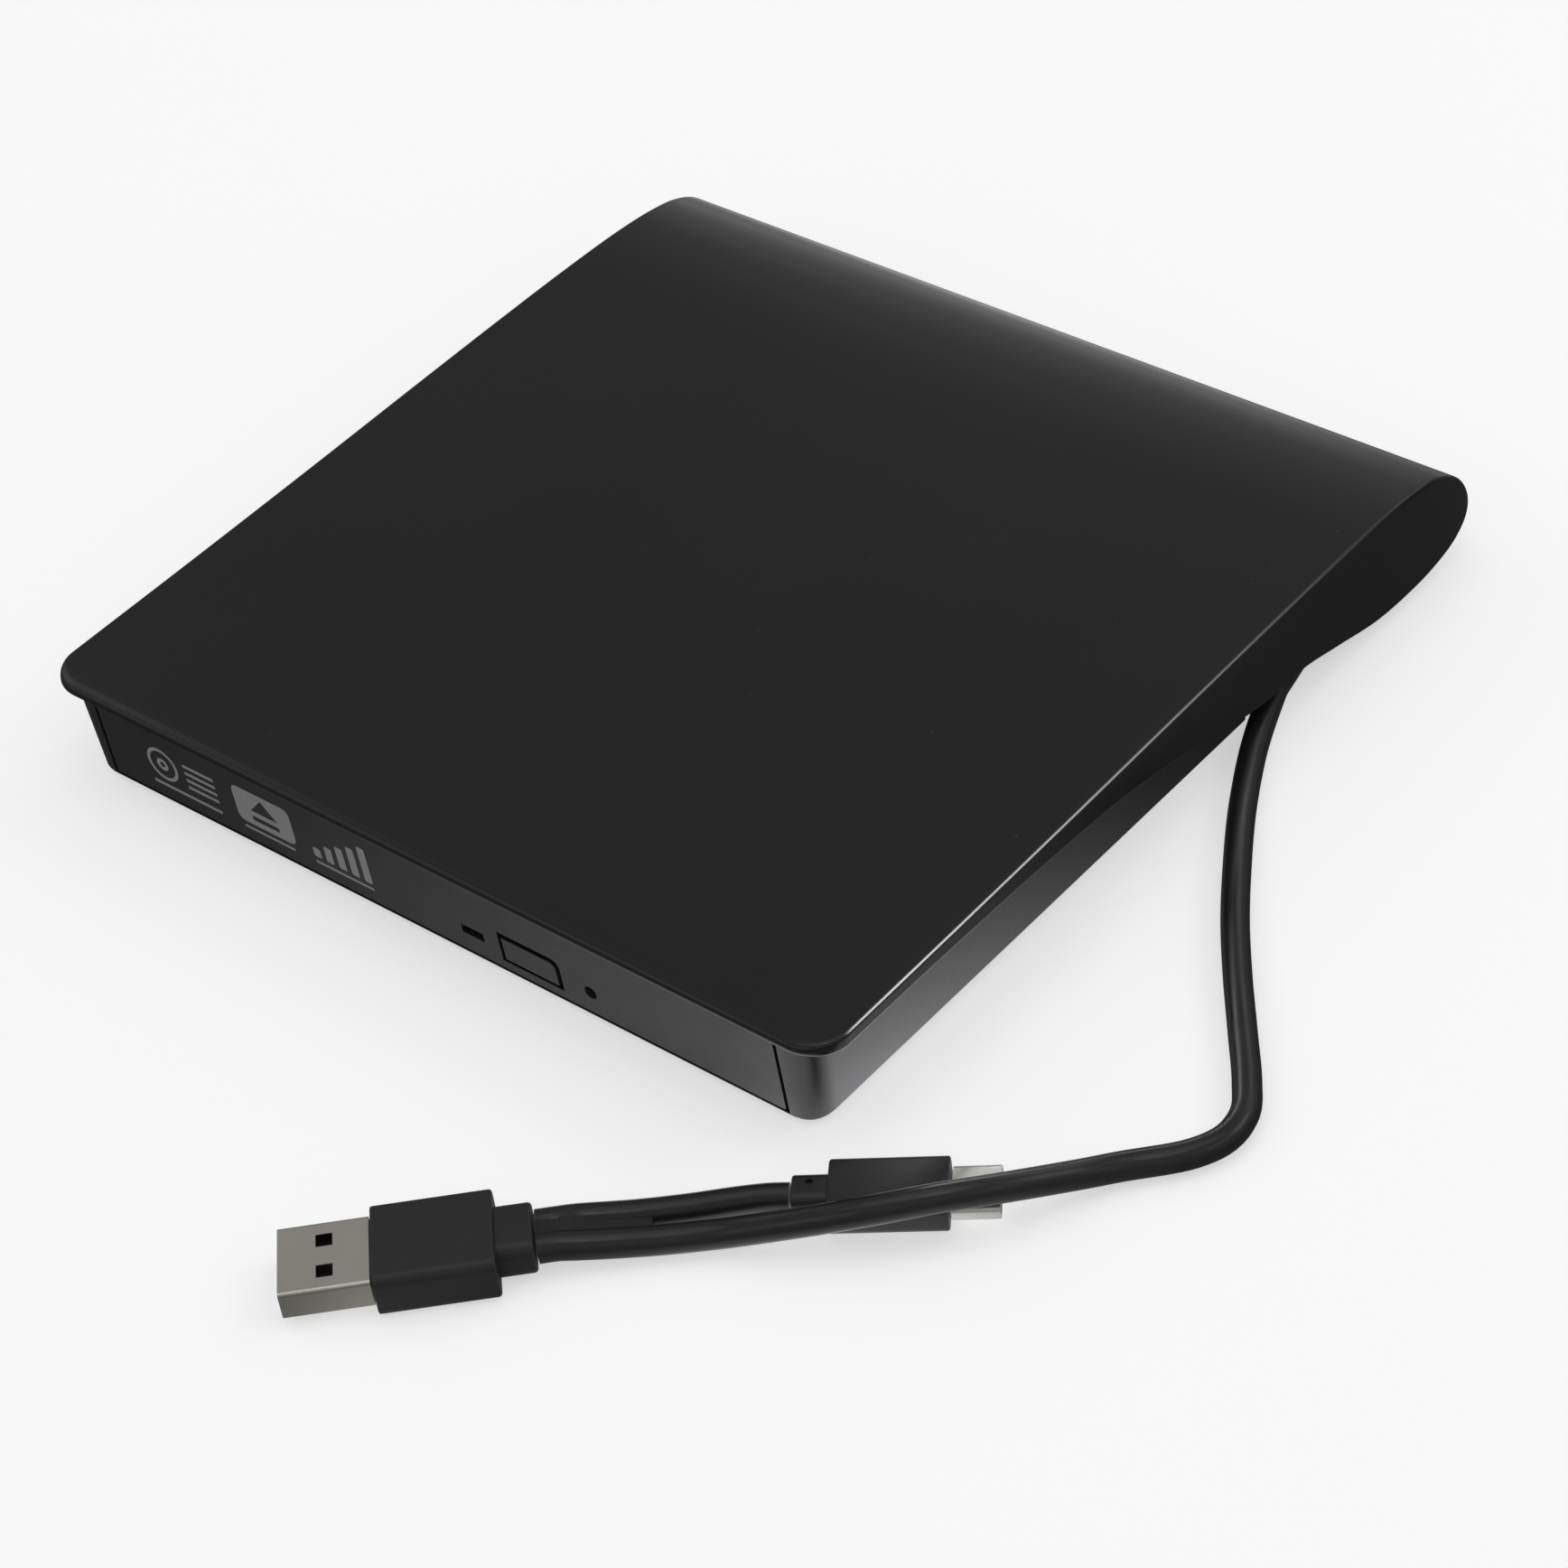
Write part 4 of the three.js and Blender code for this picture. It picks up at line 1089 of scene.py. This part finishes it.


# ------------------------------------------------------------------ floor, light and painted reflections
# Places and sizes here are in metres.
FLOOR_HALF = 3
FLOOR_Z = -0.0001
CARD_Z = -0.0002
CARD_GLOW = 0.06
# Pools of painted light, and two of painted shade, on the card that glossy surfaces see in place of the
# floor.
CARD_POOLS = [  # x, y, reach along x, reach along y, strength; below 0 is a shade
    (0.069, -0.060, 0.024, 0.078, 1.62),  # beside the base's right wall
    (0.085, -0.062, 0.030, 0.060, 0.5),
    (0.062, -0.084, 0.145, 0.040, 0.85),  # before the bezel, rising to the right
    # painted shade, mirrored in the dark turn of the front right corner
    (0.0765, -0.0750, 0.014, 0.012, -1.6),  # the dark turn of the front right corner
    (0.0670, -0.0820, 0.017, 0.016, -0.75),
    (0.0420, -0.1300, 0.036, 0.036, 0.24),  # beside the USB-A plug
    (-0.060, 0.140, 0.200, 0.120, 1.3),  # behind, for the rear roll
    (-0.100, 0.350, 0.500, 0.250, 0.9),
]
ROUND_LIGHTS = [  # azimuth and watts, at ROUND_ELEVATION
    (0, 0.4), (45, 0.16), (90, 0.34), (135, 1.07), (180, 0.62), (270, 0.5), (315, 0.3),
]
REAR_LIGHTS = [(5, 0.15), (16, 0.12), (28, 0.04)]  # elevation and watts, at REAR_AZIMUTH
ROUND_ELEVATION = 38
REAR_AZIMUTH = 213
LIGHT_DISTANCE = 1.2
# A glowing card, seen only by glossy surfaces, that paints the highlight along the cover's right-hand
# crease.
CREASE_HIGHLIGHT_CARD = (0.0775, 0.007, 0.0207)  # just off the cover's right-hand crease
# A glowing card, seen only by glossy surfaces, that paints the highlight on the lead near its bend.
LEAD_HIGHLIGHT_CARD = (0.175, -0.105, 0.42)  # above the lead's bend
PALE = (0.97, 0.98, 1, 1)


def add_card(name, corners):
    bm = bmesh.new()
    for corner in corners:
        bm.verts.new(corner)
    bm.faces.new(bm.verts)
    return to_object(name, bm)


def level_card(name, z):
    signs = ((-1, -1), (1, -1), (1, 1), (-1, 1))
    return add_card(name, [(u * FLOOR_HALF, v * FLOOR_HALF, z) for u, v in signs])


def make_floor():
    """The pale floor that the camera sees, with a little glow so that it renders white."""
    floor = level_card("floor", FLOOR_Z)
    look = Look("pale_floor", specular=0.0)
    look.colour(look.blend(look.noise(3, 2), grey(0.80), grey(0.84)))
    look.rough(look.spread(look.noise(12, 2), 0.55, 0.7))
    look.shader.inputs["Emission Color"].default_value = (1, 1, 1, 1)
    look.shader.inputs["Emission Strength"].default_value = 0.55
    floor.data.materials.append(look.material)
    # Glossy surfaces see the painted reflection card instead of this floor.
    floor.visible_glossy = False
    floor.visible_shadow = False


def pool(look, x, y, reach_x, reach_y, strength):
    """A soft oval pool of painted light on a level card, brightest at (x, y) and gone at its reach; a
    strength below 0 makes it painted shade.
    """
    mapping = look.tree.nodes.new("ShaderNodeMapping")
    mapping.inputs["Location"].default_value = (-x / reach_x, -y / reach_y, 0)
    mapping.inputs["Scale"].default_value = (1 / reach_x, 1 / reach_y, 0)
    look.link(look.coords, mapping.inputs["Vector"])
    fade = look.tree.nodes.new("ShaderNodeTexGradient")
    fade.gradient_type = "SPHERICAL"
    look.link(mapping.outputs["Vector"], fade.inputs["Vector"])
    squared = look.maths("POWER", fade.outputs["Fac"], 2.0)
    return look.maths("MULTIPLY", squared, strength)


def glowing_look(name, tint):
    """A surface that only glows, in the given tint."""
    look = Look(name, specular=0.0)
    look.shader.inputs["Base Color"].default_value = (0, 0, 0, 1)
    look.shader.inputs["Emission Color"].default_value = tint
    return look


def stage_reflection(card, look, glow):
    """Sets a card on the stage so that only glossy surfaces see it: its glow is a painted reflection.
    """
    look.link(glow, look.shader.inputs["Emission Strength"])
    card.data.materials.append(look.material)
    card.visible_camera = False
    card.visible_diffuse = False
    card.visible_transmission = False
    card.visible_shadow = False


def make_painted_reflection_card():
    """Painted reflections: a card that glows only for glossy surfaces, which see it in place of the
    floor. It is dim, with pools of painted light and painted shade on it.
    """
    card = level_card("painted_reflection_card", CARD_Z)
    look = glowing_look("painted_reflection_card", PALE)
    glow = CARD_GLOW
    for spot in CARD_POOLS:
        glow = look.maths("ADD", pool(look, *spot), glow)
    stage_reflection(card, look, look.maths("MAXIMUM", glow, 0.0))


def soft_light(name, place, width, height, power):
    """A rectangular light that faces the middle of the model."""
    data = bpy.data.lights.new(name, "AREA")
    data.shape = "RECTANGLE"
    data.size, data.size_y = width, height
    data.energy = power
    lamp = bpy.data.objects.new(name, data)
    lamp.location = place
    lamp.rotation_mode = "QUATERNION"
    lamp.rotation_quaternion = (Vector() - Vector(place)).to_track_quat("-Z", "Y")
    bpy.context.scene.collection.objects.link(lamp)


def painted_highlight_card(name, centre, across, reach, reach_y, strength):
    """A small bright card that paints a highlight, since only glossy surfaces see it. It is brightest
    at its front end and fades towards its back.
    """
    side, along = Vector(across), Vector((0, 1, 0))
    signs = ((-1, -1), (1, -1), (1, 1), (-1, 1))
    place = Vector(centre)
    card = add_card(name, [place + side * u * reach + along * v * reach_y for u, v in signs])
    look = glowing_look(name, (1, 0.99, 0.97, 1))
    front = centre[1] - reach_y * 0.85
    stage_reflection(card, look, pool(look, centre[0], front, 10, reach_y * 1.75, strength))


def round_the_model(azimuth, elevation):
    """A place round the model: azimuth 0 is in front, 90 to its right, 180 behind."""
    a, e = math.radians(azimuth), math.radians(elevation)
    return (
        LIGHT_DISTANCE * math.sin(a) * math.cos(e),
        -LIGHT_DISTANCE * math.cos(a) * math.cos(e),
        LIGHT_DISTANCE * math.sin(e),
    )


def make_light():
    world = bpy.data.worlds.new("studio")
    world.use_nodes = True
    background = world.node_tree.nodes["Background"]
    background.inputs["Color"].default_value = PALE
    background.inputs["Strength"].default_value = 0.246
    bpy.context.scene.world = world
    bpy.context.scene.view_settings.view_transform = "Standard"
    soft_light("overhead", (0, 0, 1.5), 1.2, 1.2, 2.6)
    for azimuth, power in ROUND_LIGHTS:
        place = round_the_model(azimuth, ROUND_ELEVATION)
        soft_light(f"round_{azimuth}", place, 0.55, 0.4, power)
    for elevation, power in REAR_LIGHTS:
        place = round_the_model(REAR_AZIMUTH, elevation)
        soft_light(f"rear_{elevation}", place, 0.4, 0.2, power)
    # Painted highlights: one card along the cover's right-hand crease, and one above the lead's bend.
    painted_highlight_card("crease_highlight_card", CREASE_HIGHLIGHT_CARD, (-0.64, 0, 0.768), 0.0024, 0.073, 18)
    painted_highlight_card("lead_highlight_card", LEAD_HIGHLIGHT_CARD, (1, 0, 0), 0.035, 0.035, 13)


make_floor()
make_painted_reflection_card()
make_light()
